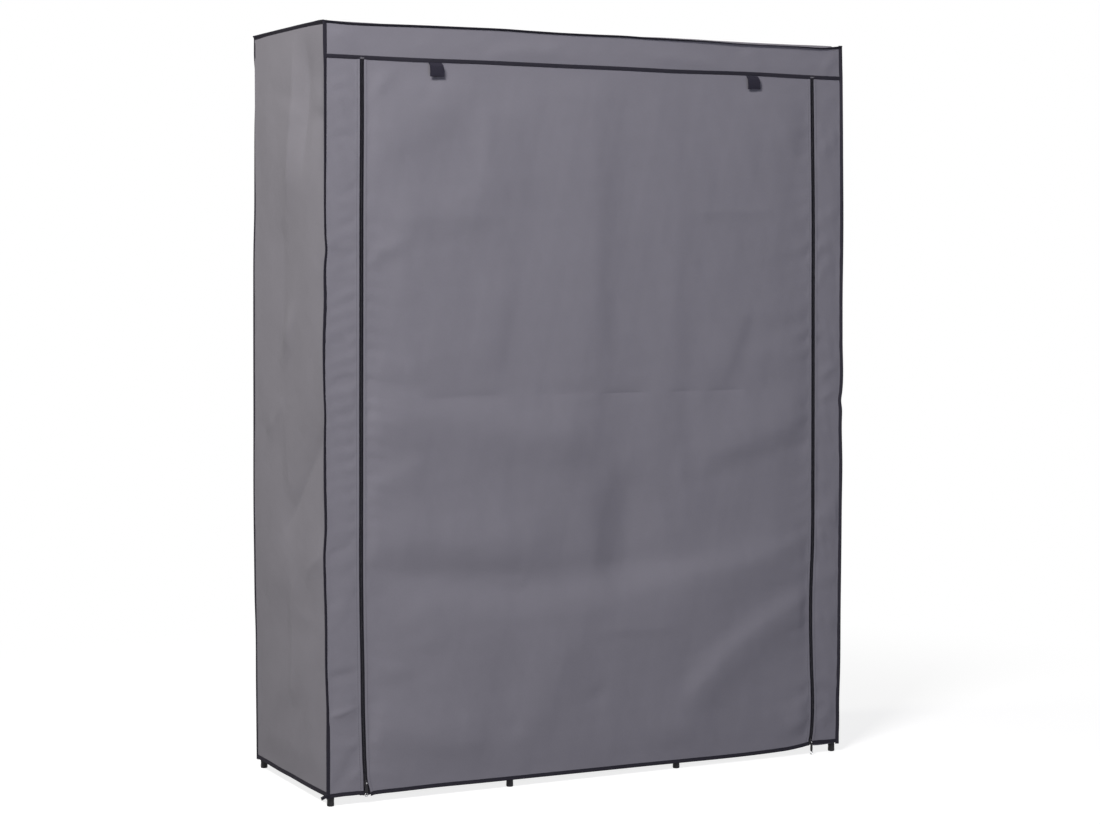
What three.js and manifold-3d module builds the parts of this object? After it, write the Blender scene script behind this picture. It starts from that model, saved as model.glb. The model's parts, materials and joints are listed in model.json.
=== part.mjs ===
// Portable fabric wardrobe: steel tubes in plastic connectors, under a zipped nonwoven cover.
// Millimetres, +Z up, front towards -Y, origin on the floor under the middle of the cover.
// Column 0 is the left one seen from the front. The left bay holds shelves, the other two hang clothes.
import * as THREE from "three";
import { mergeVertices } from "three/addons/utils/BufferGeometryUtils.js";
import Module from "manifold-3d";

const wasm = await Module();
wasm.setup();

// Whole object
const bayPitch = 432;
const depthPitch = 432;
const bayCount = 3;
const coverHeight = 1700;
const hemHeight = 26;
const segmentCount = 4;
const seatGap = 0.3;

// Tubes and connectors
const tubeDiameter = 16;
const tubeWall = 0.8;
const connectorWall = 2.5;
const sleeveHeight = 32;
const capThickness = 2;
const socketDepth = 16;
const hemDrop = 2;
const rodCollarLength = 30;
const roundSides = 12;
const cutOverrun = 1;

// Feet
const footHeight = 24;
const footStemLength = 20;

// Cloth
const clothThickness = 1.2;
const shelfClothThickness = 1.5;
const shelfClothClearance = 2;
const bandHeight = 72;
const stripWidth = 78;
const trimProud = 1;

// Zips
const zipHalfWidth = 3.4;
const sliderWidth = 9;
const sliderHeight = 14;
const sliderThickness = 3;
const bridgeRadius = 0.8;
const lugThickness = 1.4;
const lugHeight = 5;
const pullWidth = 5;
const pullLength = 30;
const pullThickness = 1.2;
const knuckleWall = 0.8;
const pullHoleRadius = 1.5;
const pullRingWall = 1.6;
const leftSliderHeight = 39;
const rightSliderHeight = 24;

// Door top binding, hem and ties
const bindingHeight = 8.5;
const bindingThickness = 1;
const doorHemHeight = 9;
const tieWidth = 31;
const tieLength = 31;
const tieThickness = 2.4;
const leftTieX = -403;
const rightTieX = 410;

// Folds of the hanging cloth, as the depth of each fold from its flat sheet
const doorSwagDepth = 3.2;
const doorCreaseDepth = 1.2;
const sideFoldDepth = 6;
const backFoldDepth = 6;
const stripPuckerDepth = 1.2;

// Where the folds fade out towards a sheet's edges, as shares of its width or its height
const sideFade = { acrossShare: 0.2, upShare: 0.08 };
const backFade = { acrossShare: 0.08, upShare: 0.08 };
const doorFade = { acrossShare: 0.08, upShare: 0.07 };
const stripFade = { acrossShare: 0.5, upShare: 0.06 };

// Facets across and up each sheet
const sideGrid = { across: 12, up: 20 };
const backGrid = { across: 16, up: 10 };
const doorGrid = { across: 20, up: 22 };
const stripGrid = { across: 2, up: 28 };
const tieRoundSegments = 6;

const tubeRadius = tubeDiameter / 2;
const boreRadius = tubeRadius - tubeWall;
const socketRadius = tubeRadius + seatGap;
const connectorRadius = socketRadius + connectorWall;
const standOff = connectorRadius + seatGap + clothThickness;
const coverWidth = bayCount * bayPitch + 2 * standOff;
const coverDepth = depthPitch + 2 * standOff;
const halfWidth = coverWidth / 2;
const halfDepth = coverDepth / 2;
const frontRow = -depthPitch / 2;
const rearRow = depthPitch / 2;
const bottomLevel = hemHeight + hemDrop + sleeveHeight / 2;
const topLevel = coverHeight - clothThickness - seatGap - connectorRadius;
const sheetTop = coverHeight - clothThickness - seatGap;
const doorTop = sheetTop - bandHeight - seatGap;
const doorLow = hemHeight + doorHemHeight + seatGap;
const socketReach = connectorRadius + socketDepth;

const columnX = (column) => (column - bayCount / 2) * bayPitch;
const levelZ = (level) => bottomLevel + ((topLevel - bottomLevel) * level) / segmentCount;
const columns = Array.from({ length: bayCount + 1 }, (_, column) => column);
const rows = { front: frontRow, rear: rearRow };

const finishes = {
  cloth: { color: 0x7b7985, roughness: 0.95, metalness: 0 },
  shelfCloth: { color: 0x74727d, roughness: 0.95, metalness: 0 },
  binding: { color: 0x2b2a30, roughness: 0.9, metalness: 0 },
  tube: { color: 0xb4b7ba, roughness: 0.4, metalness: 0.3 },
  plastic: { color: 0x1c1b1e, roughness: 0.55, metalness: 0 },
  zip: { color: 0x232226, roughness: 0.6, metalness: 0 },
  slider: { color: 0x2f2f32, roughness: 0.35, metalness: 0.8 },
};

// Solids

// A geometry as a solid that can be joined and cut.
function solidOf(geometry) {
  geometry.deleteAttribute("normal");
  geometry.deleteAttribute("uv");
  const merged = mergeVertices(geometry);
  const mesh = new wasm.Mesh({
    numProp: merged.attributes.position.itemSize,
    vertProperties: merged.attributes.position.array,
    triVerts: Uint32Array.from(merged.index.array),
  });
  return new wasm.Manifold(mesh);
}

// A solid back as a geometry with flat faces.
function geometryOf(solid) {
  const { vertProperties, triVerts, numProp } = solid.getMesh();
  const geometry = new THREE.BufferGeometry();
  geometry.setAttribute("position", new THREE.BufferAttribute(vertProperties, numProp));
  geometry.setIndex(new THREE.BufferAttribute(triVerts, 1));
  geometry.computeVertexNormals();
  return geometry;
}

const joined = (solids) => solids.reduce((whole, solid) => whole.add(solid));
const cutAway = (whole, tools) => tools.reduce((rest, tool) => rest.subtract(tool), whole);

// A round bar from one point to another along X, Y or Z.
function bar(radius, from, to) {
  const start = new THREE.Vector3(...from);
  const run = new THREE.Vector3(...to).sub(start);
  const geometry = new THREE.CylinderGeometry(radius, radius, run.length(), roundSides);
  if (run.x !== 0) geometry.rotateZ(-Math.PI / 2);
  if (run.z !== 0) geometry.rotateX(Math.PI / 2);
  geometry.translate(...start.addScaledVector(run, 1 / 2).toArray());
  return solidOf(geometry);
}

// A square-edged block between two corners.
function block(low, high) {
  const corner = new THREE.Vector3(...low);
  const size = new THREE.Vector3(...high).sub(corner);
  const geometry = new THREE.BoxGeometry(...size.toArray());
  geometry.translate(...corner.addScaledVector(size, 1 / 2).toArray());
  return solidOf(geometry);
}

// An open-ended tube from one point to another.
function tube(from, to) {
  const start = new THREE.Vector3(...from);
  const end = new THREE.Vector3(...to);
  const overrun = end.clone().sub(start).setLength(cutOverrun);
  const bore = bar(boreRadius, start.clone().sub(overrun).toArray(), end.clone().add(overrun).toArray());
  return bar(tubeRadius, from, to).subtract(bore);
}

function piece(name, solid, finish) {
  const mesh = new THREE.Mesh(geometryOf(solid), new THREE.MeshStandardMaterial(finishes[finish]));
  mesh.name = name;
  return mesh;
}

// Frame

function foot(name, x, y) {
  const profile = [
    [0, 0],
    [tubeRadius, 0],
    [tubeRadius, footHeight],
    [boreRadius - seatGap, footHeight],
    [boreRadius - seatGap, footHeight + footStemLength],
    [0, footHeight + footStemLength],
  ];
  const geometry = new THREE.LatheGeometry(profile.map((point) => new THREE.Vector2(...point)), roundSides);
  geometry.rotateX(Math.PI / 2);
  geometry.translate(x, y, 0);
  return piece(name, solidOf(geometry), "plastic");
}

// One upright: its tube segments end to end, from its foot to the cap of its top connector.
function upright(name, x, y) {
  const top = sheetTop - capThickness - seatGap;
  return piece(name, tube([x, y, footHeight + seatGap], [x, y, top]), "tube");
}

// What one level of the frame is made of: sleeves round the uprights, and the tubes between them.
// Each place is [x, y]. Sockets point away from a sleeve and take the end of a loose tube.
function levelParts(level, places, runs, sockets) {
  const z = levelZ(level);
  const isTop = level === segmentCount;
  const sleeveTop = isTop ? sheetTop : z + sleeveHeight / 2;
  const sleeveBottom = sleeveTop - sleeveHeight;
  const boreTop = isTop ? sleeveTop - capThickness : sleeveTop + cutOverrun;
  const outer = [];
  const bores = [];
  for (const [x, y] of places) {
    outer.push(bar(connectorRadius, [x, y, sleeveBottom], [x, y, sleeveTop]));
    bores.push(bar(socketRadius, [x, y, sleeveBottom - cutOverrun], [x, y, boreTop]));
  }
  for (const [from, to] of runs) {
    outer.push(bar(tubeRadius, [...from, z], [...to, z]));
    bores.push(bar(boreRadius, [...from, z], [...to, z]));
  }
  for (const { at: [x, y], towards } of sockets) {
    const seat = [x, y + towards * connectorRadius, z];
    outer.push(bar(connectorRadius, [x, y, z], [x, y + towards * socketReach, z]));
    bores.push(bar(socketRadius, seat, [x, y + towards * (socketReach + cutOverrun), z]));
  }
  return cutAway(joined(outer), bores);
}

// A front or rear line of rails over all bays, with the connector at each upright.
function railLine(name, level, y) {
  const places = columns.map((column) => [columnX(column), y]);
  const runs = places.slice(1).map((place, bay) => [places[bay], place]);
  const sockets = places.map((at) => ({ at, towards: -Math.sign(y) }));
  return piece(name, levelParts(level, places, runs, sockets), "tube");
}

// The four tubes and connectors that carry one shelf of the left bay.
function shelfFrame(name, level) {
  const [left, right] = [columnX(0), columnX(1)];
  const places = [
    [left, frontRow],
    [right, frontRow],
    [right, rearRow],
    [left, rearRow],
  ];
  const runs = places.map((place, side) => [place, places[(side + 1) % places.length]]);
  return piece(name, levelParts(level, places, runs, []), "tube");
}

// A loose tube from a front socket to a rear one. The arms are sockets for hanging rods, along X.
function depthRail(name, level, column, arms) {
  const x = columnX(column);
  const z = levelZ(level);
  const inset = connectorRadius + seatGap;
  const start = [x, frontRow + inset, z];
  const end = [x, rearRow - inset, z];
  const outer = [bar(tubeRadius, start, end)];
  const bores = [bar(boreRadius, [x, frontRow, z], [x, rearRow, z])];
  const collarHalf = rodCollarLength / 2;
  if (arms.length) outer.push(bar(connectorRadius, [x, -collarHalf, z], [x, collarHalf, z]));
  for (const towards of arms) {
    const seat = [x + towards * connectorRadius, 0, z];
    outer.push(bar(connectorRadius, [x, 0, z], [x + towards * socketReach, 0, z]));
    bores.push(bar(socketRadius, seat, [x + towards * (socketReach + cutOverrun), 0, z]));
  }
  return piece(name, cutAway(joined(outer), bores), "tube");
}

// A rod that clothes hang on, between the arms of two depth rails.
function hangingRod(name, column) {
  const inset = connectorRadius + seatGap;
  const start = [columnX(column) + inset, 0, topLevel];
  const end = [columnX(column + 1) - inset, 0, topLevel];
  return piece(name, tube(start, end), "tube");
}

// A shelf's cloth, laid over the front and rear tubes of one bay.
function shelfCloth(name, level, bay) {
  const inset = connectorRadius + shelfClothClearance;
  const under = levelZ(level) + tubeRadius + seatGap;
  const low = [columnX(bay) + inset, frontRow - tubeRadius, under];
  const high = [columnX(bay + 1) - inset, rearRow + tubeRadius, under + shelfClothThickness];
  return piece(name, block(low, high), "shelfCloth");
}

const frame = new THREE.Group();
for (const [row, y] of Object.entries(rows)) {
  for (const column of columns) {
    frame.add(foot(`foot_${row}_${column + 1}`, columnX(column), y));
    frame.add(upright(`upright_${row}_${column + 1}`, columnX(column), y));
  }
  frame.add(railLine(`bottom_rail_${row}`, 0, y));
  frame.add(railLine(`top_rail_${row}`, segmentCount, y));
}
for (const column of columns) {
  const arms = [];
  if (column > 1) arms.push(-1);
  if (column > 0 && column < bayCount) arms.push(1);
  frame.add(depthRail(`bottom_depth_rail_${column + 1}`, 0, column, []));
  frame.add(depthRail(`top_depth_rail_${column + 1}`, segmentCount, column, arms));
}
const bayNames = ["left", "centre", "right"];
for (let level = 1; level < segmentCount; level += 1) {
  frame.add(shelfFrame(`shelf_frame_${level}`, level));
  frame.add(shelfCloth(`shelf_cloth_${level}`, level, 0));
}
bayNames.forEach((bayName, bay) => {
  frame.add(shelfCloth(`bottom_cloth_${bayName}`, 0, bay));
  if (bay > 0) frame.add(hangingRod(`hanging_rod_${bayName}`, bay));
});

// Cover

const wave = (turns) => Math.cos(2 * Math.PI * turns);

// Rises from 0 at an edge to 1 over a share of the sheet, past a flat margin, and falls to the other edge.
function edgeFade(share, fadeShare, flatShare = 0) {
  const inside = Math.max(Math.min(share, 1 - share) - flatShare, 0);
  const near = Math.min(inside / fadeShare, 1);
  return near * near * (3 - 2 * near);
}

// The door hangs in broad swags that droop to the middle, with the creases it was packed in.
// It is flat behind the ties.
function doorFold(across, up) {
  const droopShare = 0.35;
  const swagCount = 4.5;
  const creaseCount = 5;
  const swag = wave(swagCount * up + droopShare * Math.sin(Math.PI * across));
  const crease = wave(creaseCount * across);
  const depth = (doorSwagDepth * (1 + swag)) / 2 + (doorCreaseDepth * (1 + crease)) / 2;
  const flatShare = (tieLength + 2 * bindingHeight) / (doorTop - doorLow);
  return depth * edgeFade(across, doorFade.acrossShare) * edgeFade(up, doorFade.upShare, flatShare);
}

// The sides hang in tall folds that wander to the front and back on their way down.
function sideFold(across, up) {
  const foldCount = 1.5;
  const wanderShare = 0.22;
  const wanderCount = 1.8;
  const fold = wave(foldCount * across + wanderShare * wave(wanderCount * up));
  const depth = (sideFoldDepth * (1 - fold)) / 2;
  return depth * edgeFade(across, sideFade.acrossShare) * edgeFade(up, sideFade.upShare);
}

// The back hangs in four tall folds that sway once from top to bottom.
function backFold(across, up) {
  const foldCount = 4;
  const wanderShare = 0.2;
  const fold = wave(foldCount * across + wanderShare * wave(up));
  const depth = (backFoldDepth * (1 - fold)) / 2;
  return depth * edgeFade(across, backFade.acrossShare) * edgeFade(up, backFade.upShare);
}

// Short level puckers where a strip is gathered on to its zip.
function stripFold(across, up) {
  const puckerCount = 7;
  const depth = (stripPuckerDepth * (1 + wave(puckerCount * up))) / 2;
  return depth * edgeFade(across, stripFade.acrossShare) * edgeFade(up, stripFade.upShare);
}

// A hanging sheet as a closed solid: two grids a cloth's thickness apart, joined round the rim.
// It spans 0 to width along X and low to high along Z, and its folds stand out towards -Y.
function sheet(width, low, high, { across: acrossCount, up: upCount }, fold) {
  const positions = [];
  const index = [];
  const stride = acrossCount + 1;
  const layer = stride * (upCount + 1);
  const quad = (a, b, c, d) => index.push(a, b, c, a, c, d);
  for (const depth of [0, clothThickness]) {
    for (let j = 0; j <= upCount; j += 1) {
      for (let i = 0; i <= acrossCount; i += 1) {
        const across = i / acrossCount;
        const up = j / upCount;
        positions.push(across * width, -depth - fold(across, up), low + up * (high - low));
      }
    }
  }
  for (let j = 0; j < upCount; j += 1) {
    for (let i = 0; i < acrossCount; i += 1) {
      const a = j * stride + i;
      quad(a, a + stride, a + stride + 1, a + 1);
      quad(layer + a, layer + a + 1, layer + a + stride + 1, layer + a + stride);
    }
  }
  for (let i = 0; i < acrossCount; i += 1) {
    const top = upCount * stride + i;
    quad(i, i + 1, layer + i + 1, layer + i);
    quad(top, layer + top, layer + top + 1, top + 1);
  }
  for (let j = 0; j < upCount; j += 1) {
    const left = j * stride;
    const right = left + acrossCount;
    quad(left, layer + left, layer + left + stride, left + stride);
    quad(right, right + stride, layer + right + stride, layer + right);
  }
  const geometry = new THREE.BufferGeometry();
  geometry.setAttribute("position", new THREE.Float32BufferAttribute(positions, 3));
  geometry.setIndex(index);
  return solidOf(geometry);
}

// Sets a sheet or a trim piece on a wall of the cover: turned about Z, with its inner face there.
function onWall(mesh, x, y, quarterTurns) {
  mesh.position.set(x, y, 0);
  mesh.rotation.z = (quarterTurns * Math.PI) / 2;
  return mesh;
}

const innerFront = -halfDepth + clothThickness;
const innerRear = halfDepth - clothThickness;
const innerSide = halfWidth - clothThickness;
const sideWidth = 2 * (innerRear - seatGap);
const zipX = halfWidth - stripWidth - seatGap - zipHalfWidth - seatGap / 2;
const doorHalfWidth = zipX - seatGap / 2 - zipHalfWidth - seatGap;

const cover = new THREE.Group();
const roofLow = [-halfWidth, -halfDepth, coverHeight - clothThickness];
const roofSolid = block(roofLow, [halfWidth, halfDepth, coverHeight]);
cover.add(piece("roof_panel", roofSolid, "cloth"));
const bandSolid = block([-halfWidth, -halfDepth, sheetTop - bandHeight], [halfWidth, innerFront, sheetTop]);
cover.add(piece("front_top_band", bandSolid, "cloth"));
const sideSheet = () => sheet(sideWidth, hemHeight, sheetTop, sideGrid, sideFold);
const backSheet = sheet(coverWidth, hemHeight, sheetTop, backGrid, backFold);
const stripSheet = () => sheet(stripWidth, hemHeight, doorTop, stripGrid, stripFold);
cover.add(onWall(piece("left_side_panel", sideSheet(), "cloth"), -innerSide, sideWidth / 2, -1));
cover.add(onWall(piece("right_side_panel", sideSheet(), "cloth"), innerSide, -sideWidth / 2, 1));
cover.add(onWall(piece("back_panel", backSheet, "cloth"), halfWidth, innerRear, 2));
cover.add(onWall(piece("front_left_strip", stripSheet(), "cloth"), -halfWidth, innerFront, 0));
cover.add(onWall(piece("front_right_strip", stripSheet(), "cloth"), halfWidth - stripWidth, innerFront, 0));

// Door

const trimFace = -halfDepth - trimProud;
const bindingLow = doorTop - (bindingHeight - seatGap) / 2;

// One half of a zip: its tape and teeth, from the given height up to the door's top binding.
function zipHalf(name, edgeX, low) {
  const high = bindingLow - seatGap;
  return piece(name, block([edgeX, trimFace, low], [edgeX + zipHalfWidth, innerFront, high]), "zip");
}

// A zip slider that runs on the zip's outer face, with a bridge between two lugs for its pull.
function slider(name, x, z) {
  const back = trimFace - seatGap;
  const face = back - sliderThickness;
  const pinY = face - bridgeRadius - knuckleWall - 2 * seatGap;
  const pinZ = z + sliderHeight / 2;
  const lugIn = pullWidth / 2 + seatGap;
  const body = block([x - sliderWidth / 2, face, z], [x + sliderWidth / 2, back, z + sliderHeight]);
  const lugs = [-1, 1].map((side) => {
    const inner = x + side * lugIn;
    const outer = x + side * (lugIn + lugThickness);
    const low = [Math.min(inner, outer), pinY - bridgeRadius, pinZ - lugHeight / 2];
    return block(low, [Math.max(inner, outer), back, pinZ + lugHeight / 2]);
  });
  const bridgeHalf = lugIn + lugThickness / 2;
  const bridge = bar(bridgeRadius, [x - bridgeHalf, pinY, pinZ], [x + bridgeHalf, pinY, pinZ]);
  return piece(name, joined([body, ...lugs, bridge]), "slider");
}

// The pull that swings on a slider's bridge: a knuckle, a flat blade and a ring at its end.
function pull(name, x, z) {
  const face = trimFace - seatGap - sliderThickness;
  const pinY = face - bridgeRadius - knuckleWall - 2 * seatGap;
  const pinZ = z + sliderHeight / 2;
  const knuckleRadius = bridgeRadius + seatGap + knuckleWall;
  const ringRadius = pullHoleRadius + pullRingWall;
  const ringZ = pinZ - pullLength + ringRadius;
  const front = pinY - pullThickness / 2;
  const rear = pinY + pullThickness / 2;
  const half = pullWidth / 2;
  const knuckle = bar(knuckleRadius, [x - half, pinY, pinZ], [x + half, pinY, pinZ]);
  const blade = block([x - half / 2, front, ringZ], [x + half / 2, rear, pinZ]);
  const ring = bar(ringRadius, [x, front, ringZ], [x, rear, ringZ]);
  const eyeHalf = half + cutOverrun;
  const eye = bar(bridgeRadius + seatGap, [x - eyeHalf, pinY, pinZ], [x + eyeHalf, pinY, pinZ]);
  const hole = bar(pullHoleRadius, [x, front - cutOverrun, ringZ], [x, rear + cutOverrun, ringZ]);
  return piece(name, cutAway(joined([knuckle, blade, ring]), [eye, hole]), "slider");
}

// A folded strap that ties the rolled door, hanging from the door's top binding by a round root.
function tie(name, x) {
  const half = tieThickness / 2;
  const rootZ = bindingLow - seatGap - half;
  const middleY = -halfDepth - seatGap - half;
  const outline = new THREE.Shape();
  outline.absarc(0, 0, half, 0, Math.PI, false);
  outline.absarc(0, 2 * half - tieLength, half, Math.PI, 2 * Math.PI, false);
  const run = { depth: tieWidth, bevelEnabled: false, curveSegments: tieRoundSegments };
  const geometry = new THREE.ExtrudeGeometry(outline, run);
  geometry.rotateX(Math.PI / 2);
  geometry.rotateZ(Math.PI / 2);
  geometry.translate(x - tieWidth / 2, middleY, rootZ);
  return piece(name, solidOf(geometry), "binding");
}

const door = new THREE.Group();
const doorSheet = sheet(2 * doorHalfWidth, doorLow, doorTop, doorGrid, doorFold);
door.add(onWall(piece("door_panel", doorSheet, "cloth"), -doorHalfWidth, innerFront, 0));
const hemHalf = zipX - seatGap / 2;
const hemSolid = block([-hemHalf, trimFace, hemHeight], [hemHalf, innerFront, hemHeight + doorHemHeight]);
door.add(piece("door_hem", hemSolid, "binding"));
door.add(zipHalf("left_zip_frame_side", -zipX - seatGap / 2 - zipHalfWidth, hemHeight));
door.add(zipHalf("left_zip_door_side", -zipX + seatGap / 2, doorLow));
door.add(zipHalf("right_zip_door_side", zipX - seatGap / 2 - zipHalfWidth, doorLow));
door.add(zipHalf("right_zip_frame_side", zipX + seatGap / 2, hemHeight));
door.add(slider("left_zip_slider", -zipX, leftSliderHeight));
door.add(slider("right_zip_slider", zipX, rightSliderHeight));
door.add(pull("left_zip_pull", -zipX, leftSliderHeight));
door.add(pull("right_zip_pull", zipX, rightSliderHeight));
const bindingBack = -halfDepth - seatGap;
const bindingSolid = block(
  [-halfWidth, bindingBack - bindingThickness, bindingLow],
  [halfWidth, bindingBack, bindingLow + bindingHeight],
);
door.add(piece("door_top_binding", bindingSolid, "binding"));
door.add(tie("left_tie", leftTieX));
door.add(tie("right_tie", rightTieX));

const wardrobe = new THREE.Group();
wardrobe.add(frame, cover, door);
export default wardrobe;
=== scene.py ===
"""Looks of the portable fabric wardrobe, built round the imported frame.

Metres, +Z up, front towards -Y, the left bay towards -X. Places come from the frame's boxes. Sizes that
only the looks need are fields of the class that uses them. On a wall of the cover, a place is (across, up):
across runs from left to right as the wall is seen from outside, with 0 in its middle, and up is the height.
"""

from __future__ import annotations

import json
import logging
import math
from collections.abc import Callable
from dataclasses import dataclass, field, replace
from enum import Enum
from functools import cache

import bpy
import numpy as np
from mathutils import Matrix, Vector


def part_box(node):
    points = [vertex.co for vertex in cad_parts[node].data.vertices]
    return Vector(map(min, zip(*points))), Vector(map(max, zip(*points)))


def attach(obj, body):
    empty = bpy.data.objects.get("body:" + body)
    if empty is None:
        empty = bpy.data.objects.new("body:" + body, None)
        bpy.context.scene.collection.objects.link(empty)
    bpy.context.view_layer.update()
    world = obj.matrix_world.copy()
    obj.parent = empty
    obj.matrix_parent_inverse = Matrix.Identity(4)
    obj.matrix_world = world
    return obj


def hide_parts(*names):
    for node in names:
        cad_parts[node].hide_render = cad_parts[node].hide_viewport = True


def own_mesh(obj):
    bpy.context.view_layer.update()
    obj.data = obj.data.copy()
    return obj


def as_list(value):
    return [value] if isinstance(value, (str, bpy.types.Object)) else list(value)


LOG = logging.getLogger("wardrobe")
Array = np.ndarray
Colour = tuple[float, float, float]
Place = tuple[float, float]
Piece = bpy.types.Object
Curve = Callable[[Array], Array]
Relief = Callable[[Array, Array], Array]

ROOT = "wardrobe"
FULL_TURN = 2 * math.pi
SHARP_EDGE = math.radians(50)
ROUND_SIDES = 24
SIDE_WORD = {-1: "left", 1: "right"}
X_WAY, Y_WAY, Z_WAY = np.eye(3)

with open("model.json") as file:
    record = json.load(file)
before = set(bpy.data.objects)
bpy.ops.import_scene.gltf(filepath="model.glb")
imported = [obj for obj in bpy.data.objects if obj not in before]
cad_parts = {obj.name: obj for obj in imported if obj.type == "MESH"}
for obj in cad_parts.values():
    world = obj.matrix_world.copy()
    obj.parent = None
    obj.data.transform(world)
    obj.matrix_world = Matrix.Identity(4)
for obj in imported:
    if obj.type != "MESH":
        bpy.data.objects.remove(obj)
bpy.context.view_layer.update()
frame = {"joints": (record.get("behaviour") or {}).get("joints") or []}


# Curves and noise


def smooth(share: Array) -> Array:
    """Rises from 0 to 1 with level ends: 3t^2 - 2t^3 on the clipped share t."""
    t = np.clip(share, 0.0, 1.0)
    return t * t * (3 - 2 * t)


def spline(knots: Array, count: int) -> Array:
    """A smooth curve through knots.

    Catmull-Rom: between two knots, the cubic whose slope at each knot is half the step between its neighbours.

    Args:
        knots: Points as rows.
        count: How many points the curve gets.

    Returns:
        The curve's points as rows.
    """
    last = len(knots) - 1
    place = np.linspace(0, last, count)
    left = np.minimum(place.astype(int), last - 1)
    t = (place - left)[:, None]
    before, here = knots[np.maximum(left - 1, 0)], knots[left]
    there, after = knots[left + 1], knots[np.minimum(left + 2, last)]
    return (
        here
        + t * (there - before) / 2
        + t**2 * (before - 2.5 * here + 2 * there - after / 2)
        + t**3 * (1.5 * (here - there) + (after - before) / 2)
    )


def joined(*coordinates: Array | float) -> Array:
    """Points from their coordinates, of which some may be one value for all."""
    return np.stack(np.broadcast_arrays(*coordinates), -1)


def unit(vectors: Array) -> Array:
    """The vectors at length 1."""
    return vectors / np.linalg.norm(vectors, axis=-1, keepdims=True)


def runs_of(path: Array) -> Array:
    """The direction of a path at each of its points."""
    return unit(np.gradient(path, axis=0))


def square_to(run: Array, vectors: Array) -> Array:
    """The part of the vectors that stands square on a run, at length 1."""
    return unit(vectors - (vectors * run).sum(-1, keepdims=True) * run)


def travel(path: Array) -> Array:
    """The distance along a path at each of its points."""
    return np.concatenate([[0.0], np.cumsum(np.linalg.norm(np.diff(path, axis=0), axis=-1))])


def spaced(path: Array, places: Array) -> Array:
    """Points of a path at those distances along it."""
    return np.stack([np.interp(places, travel(path), column) for column in path.T], -1)


def ripple(place: Array, seed: int, spacing: float, waves: int = 7) -> Array:
    """Seeded noise along a line, from about -1 to 1.

    The mean of cosines whose wavelengths lie from 0.6 to 1.7 times the spacing, with random phases.

    Args:
        place: Distances along the line.
        seed: Picks the noise.
        spacing: Mean wavelength.
        waves: How many cosines.

    Returns:
        One value for each place.
    """
    draw = np.random.default_rng(seed)
    lengths = spacing * draw.uniform(0.6, 1.7, waves)
    phases = draw.uniform(0, FULL_TURN, waves)
    angles = FULL_TURN * np.asarray(place)[..., None] / lengths + phases
    return np.cos(angles).sum(-1) / math.sqrt(waves)


def crumple(across: Array, up: Array, seed: int, spacing: float, waves: int = 9) -> Array:
    """Seeded noise over a sheet, from about -1 to 1.

    The sum of plane cosine waves in random directions, with wavelengths from 0.6 to 1.7 times the spacing.

    Args:
        across: Places across the sheet.
        up: Places up the sheet.
        seed: Picks the noise.
        spacing: Mean wavelength.
        waves: How many waves.

    Returns:
        One value for each place.
    """
    draw = np.random.default_rng(seed)
    turn = draw.uniform(0, math.pi, waves)
    rate = FULL_TURN / (spacing * draw.uniform(0.6, 1.7, waves))
    phase = draw.uniform(0, FULL_TURN, waves)
    along = across[..., None] * np.cos(turn) + up[..., None] * np.sin(turn)
    return np.cos(along * rate + phase).sum(-1) / math.sqrt(waves)


@dataclass(frozen=True)
class Wander:
    """A value that wanders along an edge, on a smooth curve through (place, value) knots with rising places."""

    knots: tuple[Place, ...] = ((0.0, 0.0), (1.0, 0.0))

    def __call__(self, place: Array | float) -> Array:
        """The value at each place: between two knots, the cubic whose slopes there come from their neighbours."""
        x, y = np.array(self.knots).T
        slope = np.gradient(y, x)
        k = np.clip(np.searchsorted(x, place) - 1, 0, len(x) - 2)
        step = x[k + 1] - x[k]
        t = np.clip((place - x[k]) / step, 0, 1)
        rise = y[k + 1] * t**2 * (3 - 2 * t) + slope[k + 1] * step * t**2 * (t - 1)
        return y[k] * (1 + 2 * t) * (1 - t) ** 2 + slope[k] * step * t * (1 - t) ** 2 + rise


# Meshes


def placed(name: str, data: bpy.types.ID) -> Piece:
    """A new object of that name round its data, linked to the scene."""
    made = bpy.data.objects.new(name, data)
    bpy.context.scene.collection.objects.link(made)
    return made


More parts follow.
